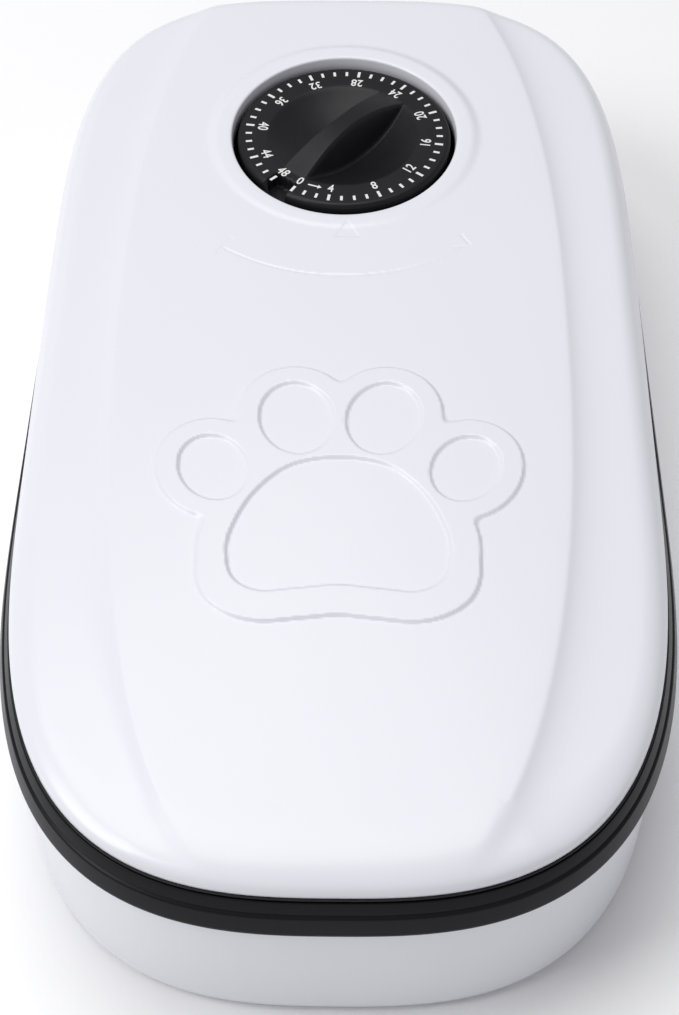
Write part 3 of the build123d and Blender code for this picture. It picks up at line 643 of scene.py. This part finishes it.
# ------------------------------------------------------------------ materials
class Shader:
    """A Principled material with procedural detail, in metres of object space."""

    def __init__(self, name, colour, roughness, metallic=0.0, specular=0.5, coat=0.0):
        self.material = bpy.data.materials.new(name)
        self.material.use_nodes = True
        self.nodes = self.material.node_tree.nodes
        self.links = self.material.node_tree.links
        self.shader = self.nodes["Principled BSDF"]
        self.place = self.nodes.new("ShaderNodeTexCoord").outputs["Object"]
        self.set("Base Color", (*colour, 1.0))
        self.set("Roughness", roughness)
        self.set("Metallic", metallic)
        self.set("Specular IOR Level", specular)
        self.set("Coat Weight", coat)
        self.height = None

    def set(self, socket, value):
        self.shader.inputs[socket].default_value = value

    def noise(self, scale, detail=3.0, stretch=(1, 1, 1)):
        """Noise value from 0 to 1; scale is how many features fit in a metre."""
        mapping = self.nodes.new("ShaderNodeMapping")
        mapping.inputs["Scale"].default_value = stretch
        self.links.new(self.place, mapping.inputs["Vector"])
        noise = self.nodes.new("ShaderNodeTexNoise")
        noise.inputs["Scale"].default_value = scale
        noise.inputs["Detail"].default_value = detail
        self.links.new(mapping.outputs["Vector"], noise.inputs["Vector"])
        return noise.outputs["Fac"]

    def remap(self, value, low=0.0, high=1.0, start=0.1, stop=0.9):
        """The value stretched from one range to another."""
        node = self.nodes.new("ShaderNodeMapRange")
        for socket, number in (("From Min", start), ("From Max", stop), ("To Min", low), ("To Max", high)):
            node.inputs[socket].default_value = number
        self.links.new(value, node.inputs["Value"])
        return node.outputs["Result"]

    def vary_colour(self, value, other):
        """Base colour goes from its own to another with a value."""
        mix = self.nodes.new("ShaderNodeMix")
        mix.data_type = "RGBA"
        mix.inputs["A"].default_value = self.shader.inputs["Base Color"].default_value
        mix.inputs["B"].default_value = (*other, 1.0)
        self.links.new(value, mix.inputs["Factor"])
        self.links.new(mix.outputs["Result"], self.shader.inputs["Base Color"])

    def vary_roughness(self, value, low, high):
        self.links.new(self.remap(value, low, high), self.shader.inputs["Roughness"])

    def bump(self, value, depth, strength=0.5):
        """Adds relief of a depth in metres on top of any relief so far."""
        node = self.nodes.new("ShaderNodeBump")
        node.inputs["Strength"].default_value = strength
        node.inputs["Distance"].default_value = depth
        self.links.new(value, node.inputs["Height"])
        if self.height:
            self.links.new(self.height, node.inputs["Normal"])
        self.height = node.outputs["Normal"]
        self.links.new(self.height, self.shader.inputs["Normal"])


def white_plastic():
    s = Shader("white_gloss", (0.80, 0.80, 0.85), 0.3, coat=0.25)
    s.set("Coat Roughness", 0.16)
    s.vary_colour(s.remap(s.noise(9)), (0.78, 0.78, 0.835))
    s.vary_roughness(s.noise(25, 2), 0.28, 0.36)
    s.bump(s.noise(2200, 2), 0.00001, 0.2)
    return s.material


def black_plastic():
    s = Shader("black_satin", (0.005, 0.005, 0.007), 0.34, specular=0.16)
    s.vary_colour(s.remap(s.noise(40)), (0.009, 0.009, 0.012))
    s.vary_roughness(s.noise(90), 0.27, 0.38)
    s.bump(s.noise(2600, 2), 0.00003, 0.35)
    return s.material


def dial_plastic():
    s = Shader("dial_black", (0.006, 0.006, 0.007), 0.36, specular=0.25)
    s.vary_colour(s.remap(s.noise(120)), (0.010, 0.010, 0.012))
    s.vary_roughness(s.noise(160), 0.32, 0.44)
    s.bump(s.noise(5200, 2), 0.00002, 0.4)
    return s.material


def print_ink():
    s = Shader("white_print", (0.86, 0.86, 0.84), 0.5)
    s.vary_colour(s.remap(s.noise(2500)), (0.72, 0.72, 0.71))
    return s.material


def rubber(name, colour, grain):
    s = Shader(name, colour, 0.7, specular=0.3)
    s.vary_colour(s.remap(s.noise(grain / 8)), tuple(c * 1.6 for c in colour))
    s.vary_roughness(s.noise(grain / 4), 0.6, 0.82)
    s.bump(s.noise(grain, 4), 0.00005, 0.5)
    return s.material


def metal(name, colour, roughness, stretch=(1, 1, 30)):
    s = Shader(name, colour, roughness, metallic=1.0)
    brushed = s.noise(500, 4, stretch)
    s.vary_colour(s.remap(brushed), tuple(c * 0.82 for c in colour))
    s.vary_roughness(brushed, roughness * 0.7, roughness * 1.5)
    s.bump(brushed, 0.00002, 0.3)
    return s.material


def moulded(name, colour, other, roughness=0.5):
    s = Shader(name, colour, roughness)
    s.vary_colour(s.remap(s.noise(180)), other)
    s.vary_roughness(s.noise(300), roughness * 0.85, roughness * 1.2)
    s.bump(s.noise(3000, 3), 0.00003, 0.4)
    return s.material


def floor_material():
    s = Shader("floor", (0.965, 0.965, 0.97), 0.6)
    s.vary_colour(s.remap(s.noise(3)), (0.95, 0.95, 0.955))
    return s.material


MATERIALS = {
    "white_shell": white_plastic(),
    "black_plastic": black_plastic(),
    "dial_black": dial_plastic(),
    "seal_rubber": rubber("seal_rubber", (0.012, 0.012, 0.013), 2400),
    "foot_rubber": rubber("foot_rubber", (0.05, 0.05, 0.052), 1800),
    "steel": metal("steel", (0.56, 0.57, 0.59), 0.28),
    "contact_metal": metal("contact_metal", (0.72, 0.71, 0.69), 0.2),
    "bronze": metal("bronze", (0.55, 0.36, 0.17), 0.42),
    "cell_jacket": moulded("cell_jacket", (0.06, 0.10, 0.26), (0.08, 0.13, 0.31), 0.32),
    "gear_plastic": moulded("gear_plastic", (0.80, 0.78, 0.70), (0.74, 0.72, 0.63), 0.45),
    "copper_wire": metal("copper_wire", (0.62, 0.25, 0.10), 0.3, (30, 1, 1)),
    "board_green": moulded("board_green", (0.02, 0.16, 0.06), (0.03, 0.20, 0.08), 0.4),
    "chip_resin": moulded("chip_resin", (0.012, 0.012, 0.013), (0.02, 0.02, 0.022), 0.5),
}
PRINT = print_ink()


def paint(obj, material):
    """The material becomes the object's only one."""
    obj.data.materials.clear()
    obj.data.materials.append(material)


def finish_piece(obj, body, slot, *nodes):
    """The piece rides on its body, takes its slot's material and stands for CAD nodes."""
    paint(obj, MATERIALS[slot])
    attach(obj, body)
    if nodes:
        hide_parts(*nodes)
    return obj


# ------------------------------------------------------------------ base, rim and bowl
def cutter(low, high, round_by=0.6):
    """Rounded box that cuts a slot."""
    bpy.ops.mesh.primitive_cube_add()
    box = bpy.context.object
    low, high = np.array(low, float), np.array(high, float)
    box.scale = Vector((high - low) / 2 * MM)
    box.location = Vector((high + low) / 2 * MM)
    bpy.ops.object.transform_apply(location=True, scale=True)
    bevel = box.modifiers.new("round", "BEVEL")
    bevel.width = round_by * MM
    bevel.segments = 4
    return box


def cut(obj, cutters):
    """Subtracts the cutters and removes them."""
    for box in cutters:
        boolean = obj.modifiers.new("slot", "BOOLEAN")
        boolean.operation = "DIFFERENCE"
        boolean.solver = "EXACT"
        boolean.object = box
    graph = bpy.context.evaluated_depsgraph_get()
    mesh = bpy.data.meshes.new_from_object(obj.evaluated_get(graph))
    obj.modifiers.clear()
    obj.data = mesh
    for box in cutters:
        bpy.data.objects.remove(box, do_unlink=True)


def hinge_cutters(y_range, z_range):
    """Cutters for the two hinge slots."""
    boxes = []
    for side in (-1, 1):
        x = sorted(side * x for x in SLOT_X)
        boxes.append(cutter((x[0], y_range[0], z_range[0]), (x[1], y_range[1], z_range[1])))
    return boxes


def make_base_tub():
    """White tub: its lip below, its tapered wall and the top edge inside the rim."""
    profile = rounded([
        (5.6, 1.2, 0.6), (3.7, 1.9, 1.2), (3.1, 4.2, 2.0), (2.05, 43.4, 0.5), (4.45, 43.4, 0.5),
        (5.5, 3.8, 0.8), (7.6, 3.8, 0.3), (7.6, 1.2, 0.3),
    ])
    return sweep("base_tub", RIM, profile)


def band_outline():
    """Outline of the black rim: beside the dial it runs a little closer to the lid's edge."""
    points, normals = RIM
    start, stop = BAND_WAIST_Y
    behind = np.clip((points[:, 1] - start) / (stop - start), 0, 1)
    squeeze = BAND_WAIST * behind ** 2 * (3 - 2 * behind) * normals[:, 0] ** 2
    return points - squeeze[:, None] * normals, normals


def bar_along_x(name, outline_yz, x_low, x_high):
    """Straight bar along X from a (y, z) outline."""
    vertices = [(x, y, z) for x in (x_low, x_high) for y, z in outline_yz]
    bar = new_object(name, vertices, prism_faces(len(outline_yz)))
    turn_outward(bar)
    return bar


def make_pin_lugs():
    """Barrels on the rim that carry the ends of the hinge pins."""
    outline = circle(LUG_R, (HINGE_Y, HINGE_Z), 32)[0]
    spans = [sorted((side * low, side * high)) for side in (-1, 1) for low, high in LUG_X]
    return [bar_along_x("pin_lug", outline, *span) for span in spans]


def make_rim_frame():
    """Black rim with its beads, and the deck that it carries."""
    inner = DECK_INSET + 0.4
    profile = rounded([
        (inner, DECK_Z, 0), (4.35, DECK_Z, 0.25), (3.75, 49.72, 0.2), (2.95, 50.05, 0.35),
        (1.75, 47.1, 0.3), (1.95, 46.75, 0.15), (1.05, 46.2, 0.9), (0.0, 41.5, 0.4), (0.0, 40.7, 0.35),
        (1.8, 40.7, 0.4), (1.8, 46.0, 0.4), (inner, 46.6, 0),
    ], 7)
    band = sweep("rim_frame", band_outline(), profile, 34)
    points, normals = RIM
    holes = [BOWL[0], dial_circle(5.0, 48)]
    deck = slab("deck_plate", points - DECK_INSET * normals, holes, DECK_LOW_Z, DECK_Z - 0.001)
    ledge = sweep("bowl_ledge", BOWL, rounded([
        (-0.6, DECK_LOW_Z, 0), (-0.6, 48.3, 0), (3.0, 48.3, 0.3), (3.0, DECK_LOW_Z, 0.3),
    ]))
    slot_y, slot_z = (149.0, 157.6), (43.6, 52.0)
    cut(band, hinge_cutters(slot_y, slot_z) + hinge_cutters((157.0, 161.0), (46.0, 52.0)))
    cut(deck, hinge_cutters(slot_y, slot_z))
    frame_piece = join("rim_frame", band, deck, ledge, *make_pin_lugs())
    shade(frame_piece, 34)
    return frame_piece


def make_bowl():
    """Food bowl: a flat rim that drops into the deck, walls that draft inwards and a rounded floor."""
    outside = rounded([
        (26.0, 10.0, 0), (17.0, 10.0, 4.0), (12.4, 16.5, 5.0), (3.6, 48.5, 1.2), (0.3, 48.5, 0.3),
        (0.3, DECK_Z - 0.15, 0.5), (4.4, DECK_Z - 0.15, 1.0), (13.6, 18.2, 5.0), (18.4, 11.9, 4.0),
        (26.0, 11.9, 0),
    ], 8)
    return capped_sweep("bowl", BOWL, outside)


def capped_sweep(name, outline, profile):
    """Sweep of an open profile whose two ends are closed with flat faces."""
    points, normals = outline
    count = len(points)
    vertices = np.vstack([with_height(points - inset * normals, z) for inset, z in profile])
    faces = []
    for i in range(len(profile) - 1):
        faces += ring_faces(i * count, (i + 1) * count, count)
    last = (len(profile) - 1) * count
    faces += [tuple(range(count)), tuple(last + i for i in reversed(range(count)))]
    obj = new_object(name, vertices, faces)
    turn_outward(obj)
    return obj


def make_gasket():
    """Rubber lip that stands a little proud of the lid's edge, and the bead that grips the lid's wall."""
    profile = rounded([
        (3.12, 50.52, 0.3), (3.12, 51.14, 0.3), (6.1, 51.14, 0.1), (6.1, 53.2, 0.4), (7.6, 53.2, 0.5),
        (7.6, 50.5, 0.3), (5.6, 50.5, 0.2), (5.2, 50.8, 0.2), (4.6, 50.5, 0.2),
    ])
    gasket = sweep("lid_gasket", RIM, profile)
    cut(gasket, hinge_cutters((151.7, 161.0), (45.0, 54.5)))
    shade(gasket, 40)
    return gasket


# ------------------------------------------------------------------ small parts of the lid
def knuckle_outline():
    """Round barrel on the hinge axis with an arm up to the lid's wall."""
    back, front = 0.5, -2.6
    start = math.pi / 2 - math.asin(back / KNUCKLE_R)
    stop = math.pi / 2 - math.asin(front / KNUCKLE_R) - 2 * math.pi
    barrel = [(HINGE_Y + KNUCKLE_R * math.cos(a), HINGE_Z + KNUCKLE_R * math.sin(a))
              for a in np.linspace(start, stop, 40)]
    return barrel + [(HINGE_Y + front, KNUCKLE_TOP_Z), (HINGE_Y + back, KNUCKLE_TOP_Z)]


def make_knuckles():
    """The lid's two hinge knuckles, with rounded edges."""
    pieces = []
    for side in (-1, 1):
        x = sorted((side * (HINGE_X - 5.7), side * (HINGE_X + 1.2)))
        piece = bar_along_x("lid_knuckles", knuckle_outline(), *x)
        bevel = piece.modifiers.new("edges", "BEVEL")
        bevel.width = 0.35 * MM
        bevel.segments = 3
        bevel.limit_method = "ANGLE"
        bevel.angle_limit = math.radians(50)
        pieces.append(piece)
    return join("lid_knuckles", *pieces)


def notch_place(radius, sideways):
    """Point at a distance from the dial's axis along the notch, and to one side of it."""
    nx, ny = NOTCH_DIRECTION
    return radius * nx - sideways * ny, DIAL_Y + radius * ny + sideways * nx


def make_latch_bosses():
    """Two screw bosses that carry the latch plate under the lid."""
    profile = rounded([
        (0.0, 59.2, 0.2), (0.0, 61.4, 0.4), (-0.9, 62.2, 0), (1.4, 62.2, 0), (1.4, 59.2, 0.2),
    ])
    bosses = []
    for side in (-1, 1):
        outline = circle(BOSS_R, notch_place(BOSS_DISTANCE, side * BOSS_SPREAD), 40)
        bosses.append(sweep("latch_bosses", outline, profile))
    return join("latch_bosses", *bosses)


# ------------------------------------------------------------------ dial
def notch_axes(x, y):
    """Distances from the dial's axis along the notch and across it."""
    nx, ny = NOTCH_DIRECTION
    dx, dy = x, y - DIAL_Y
    return dx * nx + dy * ny, -dx * ny + dy * nx


def dial_bare(x, y):
    """Ring and dish, without the grip."""
    radius = np.hypot(x, y - DIAL_Y)
    ball = (DISH_R ** 2 + DISH_DEPTH ** 2) / (2 * DISH_DEPTH)
    dish = DIAL_FACE_Z - DISH_DEPTH + ball - np.sqrt(np.maximum(ball ** 2 - radius ** 2, 1.0))
    return smooth_min(np.full_like(radius, DIAL_FACE_Z), dish, 0.5)


def grip_half_width(part):
    """Half width of the grip's top, where part is 0 at its middle and 1 at its ends."""
    return GRIP_WAIST + (GRIP_END - GRIP_WAIST) * part ** GRIP_POWER


def grip_height(x, y):
    """Arched grip bar, whose sides round over and fall away."""
    along, across = notch_axes(x, y)
    part = np.clip(np.abs(along) / GRIP_REACH, 0, 1.3)
    crown = DIAL_FACE_Z + GRIP_ARCH * (1 - part ** 2)
    edge = np.maximum(np.abs(across) - grip_half_width(part) + 0.5, 0)
    return crown - GRIP_FALL * np.where(edge < 1.0, edge ** 2 / 2.0, edge - 0.5)


def notch_distance(x, y):
    """Signed distance to the notch's sides and inner end."""
    along, across = notch_axes(x, y)
    return np.maximum(np.abs(across) - NOTCH_HALF_WIDTH, NOTCH_INNER_R - along)


def dial_top(x, y):
    """Height of the dial's face with its grip and notch."""
    part = np.clip(np.abs(notch_axes(x, y)[0]) / GRIP_REACH, 0, 1)
    z = -smooth_min(-dial_bare(x, y), -grip_height(x, y), 0.15 + 0.75 * (1 - part ** 6))
    return cut_notch(x, y, z)


def cut_notch(x, y, z):
    """Heights lowered to the notch's floor inside the notch."""
    floor = DIAL_FACE_Z - NOTCH_DEPTH
    return np.where(z > floor, z - (z - floor) * step(notch_distance(x, y), 0.35), z)


def dial_pitch(x, y):
    """Grid spacing that the dial's face needs at each place."""
    radius = np.hypot(x, y - DIAL_Y)
    along, across = notch_axes(x, y)
    side = np.abs(across) - grip_half_width(np.clip(np.abs(along) / GRIP_REACH, 0, 1))
    beside_grip = np.abs(along) < GRIP_REACH + 2.1
    pitch = np.full(np.shape(x), 1.0)
    pitch = np.where((side > -0.9) & (side < 5.0) & beside_grip, 0.5, pitch)
    pitch = np.where((np.abs(side) < 0.8) & beside_grip, 0.25, pitch)
    pitch = np.where(np.abs(radius - DISH_R) < 0.8, 0.5, pitch)
    pitch = np.where(np.abs(notch_distance(x, y)) < 0.4, 0.25, pitch)
    return pitch


def dial_edge_rings():
    """Rings from the dial's rounded edge down its side, lowered where the notch is."""
    rings = []
    for angle in np.radians(np.linspace(0, 90, 8))[1:]:
        ring = dial_circle(DIAL_R - DIAL_ROUND + DIAL_ROUND * math.sin(angle), DIAL_COUNT)
        rings.append(with_height(ring, DIAL_FACE_Z - DIAL_ROUND + DIAL_ROUND * math.cos(angle)))
    side = [(DIAL_R, 61.5), (DIAL_R, 60.2), (DIAL_R - 0.25, 59.95), (DIAL_R - 0.5, DIAL_LOW_Z)]
    rings += [with_height(dial_circle(radius, DIAL_COUNT), z) for radius, z in side]
    for ring in rings:
        ring[:, 2] = cut_notch(ring[:, 0], ring[:, 1], ring[:, 2])
    return rings


def dial_underside(border):
    """Points and triangles of the dial's underside, one wall below its face."""
    xy, triangles = flat_sheet(border, None, lambda x, y: np.full(np.shape(x), 2.0), 2.0, 2.0, 0.5)
    z = np.minimum(DIAL_LOW_Z, dial_bare(xy[:, 0], xy[:, 1]) - DIAL_WALL)
    return np.column_stack([xy, z]), triangles


def make_dial():
    """Dial face as a height field, its rounded edge and its closed underside."""
    border = dial_circle(DIAL_R - DIAL_ROUND, DIAL_COUNT)
    xy, triangles = flat_sheet(border, None, dial_pitch, 1.0, 0.25, 0.2)
    top = np.column_stack([xy, dial_top(xy[:, 0], xy[:, 1])])
    rings = dial_edge_rings()
    bottom, low_triangles = dial_underside(rings[-1][:, :2])
    parts = [top] + rings[:-1] + [bottom]
    starts = [int(s) for s in np.cumsum([0] + [len(p) for p in parts])]
    faces = [tuple(int(i) for i in t) for t in triangles]
    chain = [0] + starts[1:len(rings) + 1]
    for a, b in zip(chain, chain[1:]):
        faces += ring_faces(a, b, DIAL_COUNT)
    faces += [tuple(int(starts[-2] + i) for i in reversed(t)) for t in low_triangles]
    dial = new_object("dial_knob", np.vstack(parts), faces)
    turn_outward(dial)
    shade(dial, 40)
    free = np.arange(len(xy)) >= DIAL_COUNT
    free &= np.abs(notch_distance(xy[:, 0], xy[:, 1])) > 0.4
    normals = np.zeros((len(xy), 3))
    normals[free] = surface_normals(xy[free], dial_top, 0.03)
    set_normals(dial, normals, len(xy))
    return dial


def make_dial_hub():
    """Sleeve under the dial that fits on its shaft."""
    profile = rounded([(0, 51.8, 0.3), (0, 58.2, 0), (2.96, 58.2, 0), (2.96, 51.8, 0.3)])
    return sweep("dial_hub", circle(6.0, (0, DIAL_Y), 64), profile)


def with_height(points, z):
    """Flat points lifted to a height."""
    return np.column_stack([points, np.full(len(points), z)])


def flat_sheet(border, hole, pitch_of, coarse, finest, margin):
    """Points and triangles that fill a border loop, finer where needed.

    The border's points come first, then the hole's.
    """
    loops = [border] if hole is None else [border, hole]

    def allowed(x, y):
        points = np.column_stack([x, y])
        free = inside(points, border)
        free[free] = loop_distance(points[free, 0], points[free, 1], border) < -margin
        if hole is not None:
            free[free] = loop_distance(points[free, 0], points[free, 1], hole) > margin
        return free

    grid = dyadic_grid(border.min(0), border.max(0), coarse, finest, pitch_of, allowed)
    flat = np.vstack(loops + [grid])
    edges, start = [], 0
    for loop in loops:
        edges += [(start + i, start + (i + 1) % len(loop)) for i in range(len(loop))]
        start += len(loop)
    corners, _, triangles, _, _, _ = delaunay_2d_cdt([Vector(p) for p in flat], edges, [], 0, 1e-7)
    xy = np.array([tuple(v) for v in corners])
    triangles = np.array([tuple(t) for t in triangles])
    centres = xy[triangles].mean(1)
    keep = inside(centres, border)
    if hole is not None:
        keep &= ~inside(centres, hole)
    return xy, triangles[keep]


# ------------------------------------------------------------------ print on the dial
def dial_angle(index):
    """Direction of a tick, turning counter-clockwise from the zero tick."""
    return math.radians(-90.0 - FIRST_TICK + index * TICK_STEP)


def flat_shape(points, thickness=0.03):
    """Thin raised patch from an outline in the plane of the dial's face."""
    low = [(x, y, PRINT_Z - thickness) for x, y in points]
    high = [(x, y, PRINT_Z) for x, y in points]
    return new_object("print_patch", low + high, prism_faces(len(points)))


def dial_place(radius, angle):
    """Point at a distance from the dial's axis, in a direction."""
    return np.array([radius * math.cos(angle), DIAL_Y + radius * math.sin(angle)])


def tick(index):
    """Tick mark, broader at every fourth hour."""
    length, width = MAJOR_SIZE if index in MAJOR_TICKS else MINOR_SIZE
    angle = dial_angle(index)
    along = np.array([math.cos(angle), math.sin(angle)])
    across = np.array([-along[1], along[0]])
    middle = dial_place(TICK_R, angle)
    corners = [middle + a * along * length / 2 + b * across * width / 2
               for a, b in ((-1, -1), (1, -1), (1, 1), (-1, 1))]
    return flat_shape(corners)


def number(text, index):
    """Numeral whose top points to the dial's axis."""
    curve = bpy.data.curves.new("number", "FONT")
    curve.body = text
    curve.size = NUMBER_SIZE * MM
    curve.space_character = 1.05
    curve.align_x, curve.align_y = "CENTER", "CENTER"
    curve.offset = 0.06 * MM
    curve.extrude = 0.012 * MM
    letters = bpy.data.objects.new("number", curve)
    bpy.context.scene.collection.objects.link(letters)
    angle = dial_angle(index)
    place = Matrix.Translation(Vector((*dial_place(NUMBER_R, angle), PRINT_Z)) * MM)
    turn = Matrix.Rotation(angle + math.pi / 2, 4, "Z")
    squeeze = Matrix.Diagonal((NUMBER_NARROWING, 1.0, 1.0, 1.0))
    bpy.context.view_layer.update()
    graph = bpy.context.evaluated_depsgraph_get()
    mesh = bpy.data.meshes.new_from_object(letters.evaluated_get(graph))
    mesh.transform(place @ turn @ squeeze)
    bpy.data.objects.remove(letters)
    obj = bpy.data.objects.new("number", mesh)
    bpy.context.scene.collection.objects.link(obj)
    return obj


def small_arrow():
    """Arrow between the zero and the four."""
    radius = NUMBER_R + 0.1
    a, b = dial_place(radius, dial_angle(0.85)), dial_place(radius, dial_angle(2.15))
    along = (b - a) / np.linalg.norm(b - a)
    across = np.array([-along[1], along[0]])
    neck = b - along * 1.1
    shaft, head = across * 0.24, across * 0.75
    outline = [a - shaft, neck - shaft, neck - head, b, neck + head, neck + shaft, a + shaft]
    return flat_shape(outline)


def make_print():
    """Ticks, numerals and the small arrow, in one piece."""
    pieces = [tick(i) for i in range(TICK_COUNT)]
    pieces += [number(str(4 * k), i) for k, i in enumerate(MAJOR_TICKS)]
    pieces.append(small_arrow())
    for piece in pieces:
        paint(piece, PRINT)
    return join("dial_print", *pieces)


# ------------------------------------------------------------------ assembly
finish_piece(make_lid(), "lid", "white_shell", "lid_shell")
finish_piece(make_knuckles(), "lid", "white_shell", "lid_shell")
finish_piece(make_latch_bosses(), "lid", "white_shell", "lid_shell")
finish_piece(make_gasket(), "lid", "seal_rubber", "lid_seal")
finish_piece(make_rim_frame(), "base", "black_plastic", "deck_frame")
finish_piece(make_base_tub(), "base", "white_shell", "base_shell")
finish_piece(make_bowl(), "base", "black_plastic", "food_bowl")
finish_piece(make_dial(), "dial", "dial_black", "timer_dial")
finish_piece(make_dial_hub(), "dial", "dial_black", "timer_dial")
print_piece = make_print()
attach(print_piece, "dial")

slot_of = {part["node"]: part["material_slot"] for part in frame["record"]["subparts"]}
for name, node in frame["nodes"].items():
    if not node.hide_render:
        paint(node, MATERIALS[slot_of[name]])
        shade(node, 40)


# ------------------------------------------------------------------ floor, light and camera
def make_floor():
    """Plain pale floor."""
    bpy.ops.mesh.primitive_plane_add(size=12)
    floor = bpy.context.object
    floor.name = "floor"
    paint(floor, floor_material())


def softbox(name, place, target, size, power):
    """Square area light that looks at a target."""
    light = bpy.data.lights.new(name, "AREA")
    light.shape = "RECTANGLE"
    light.size, light.size_y = size, size
    light.energy = power
    obj = bpy.data.objects.new(name, light)
    bpy.context.scene.collection.objects.link(obj)
    obj.location = place
    direction = Vector(target) - Vector(place)
    obj.rotation_euler = direction.to_track_quat("-Z", "Y").to_euler()


def make_world(strength):
    """Even pale light from all round."""
    world = bpy.data.worlds.new("studio")
    bpy.context.scene.world = world
    world.use_nodes = True
    background = world.node_tree.nodes["Background"]
    background.inputs["Color"].default_value = (0.97, 0.97, 1.0, 1.0)
    background.inputs["Strength"].default_value = strength


def make_camera():
    """Camera from its elevation, turn and roll about a target point."""
    elevation, turn, roll = math.radians(49.16), math.radians(0.815), math.radians(-0.27)
    target, distance = Vector((-0.0006, 0.0, 0.0041)), 0.6389
    level = Vector((math.cos(turn), math.sin(turn), 0))
    outward = Vector((math.sin(turn), -math.cos(turn), 0))
    back = outward * math.cos(elevation) + Vector((0, 0, math.sin(elevation)))
    upright = back.cross(level)
    right = level * math.cos(roll) + upright * math.sin(roll)
    up = back.cross(right)
    camera = bpy.data.cameras.new("camera")
    camera.lens = 80.49
    camera.sensor_width = 36.0
    camera.clip_start = 0.01
    obj = bpy.data.objects.new("camera", camera)
    bpy.context.scene.collection.objects.link(obj)
    place = Matrix((right, up, back)).transposed().to_4x4()
    place.translation = target + back * distance
    obj.matrix_world = place
    bpy.context.scene.camera = obj


make_floor()
make_world(0.43)
softbox("key", (-1.0, -0.3, 1.15), (0, 0, 0.03), 0.8, 9.0)
softbox("top", (-0.2, 0.35, 1.5), (0, 0, 0.05), 1.0, 9.4)
make_camera()
bpy.context.scene.view_settings.view_transform = "Standard"
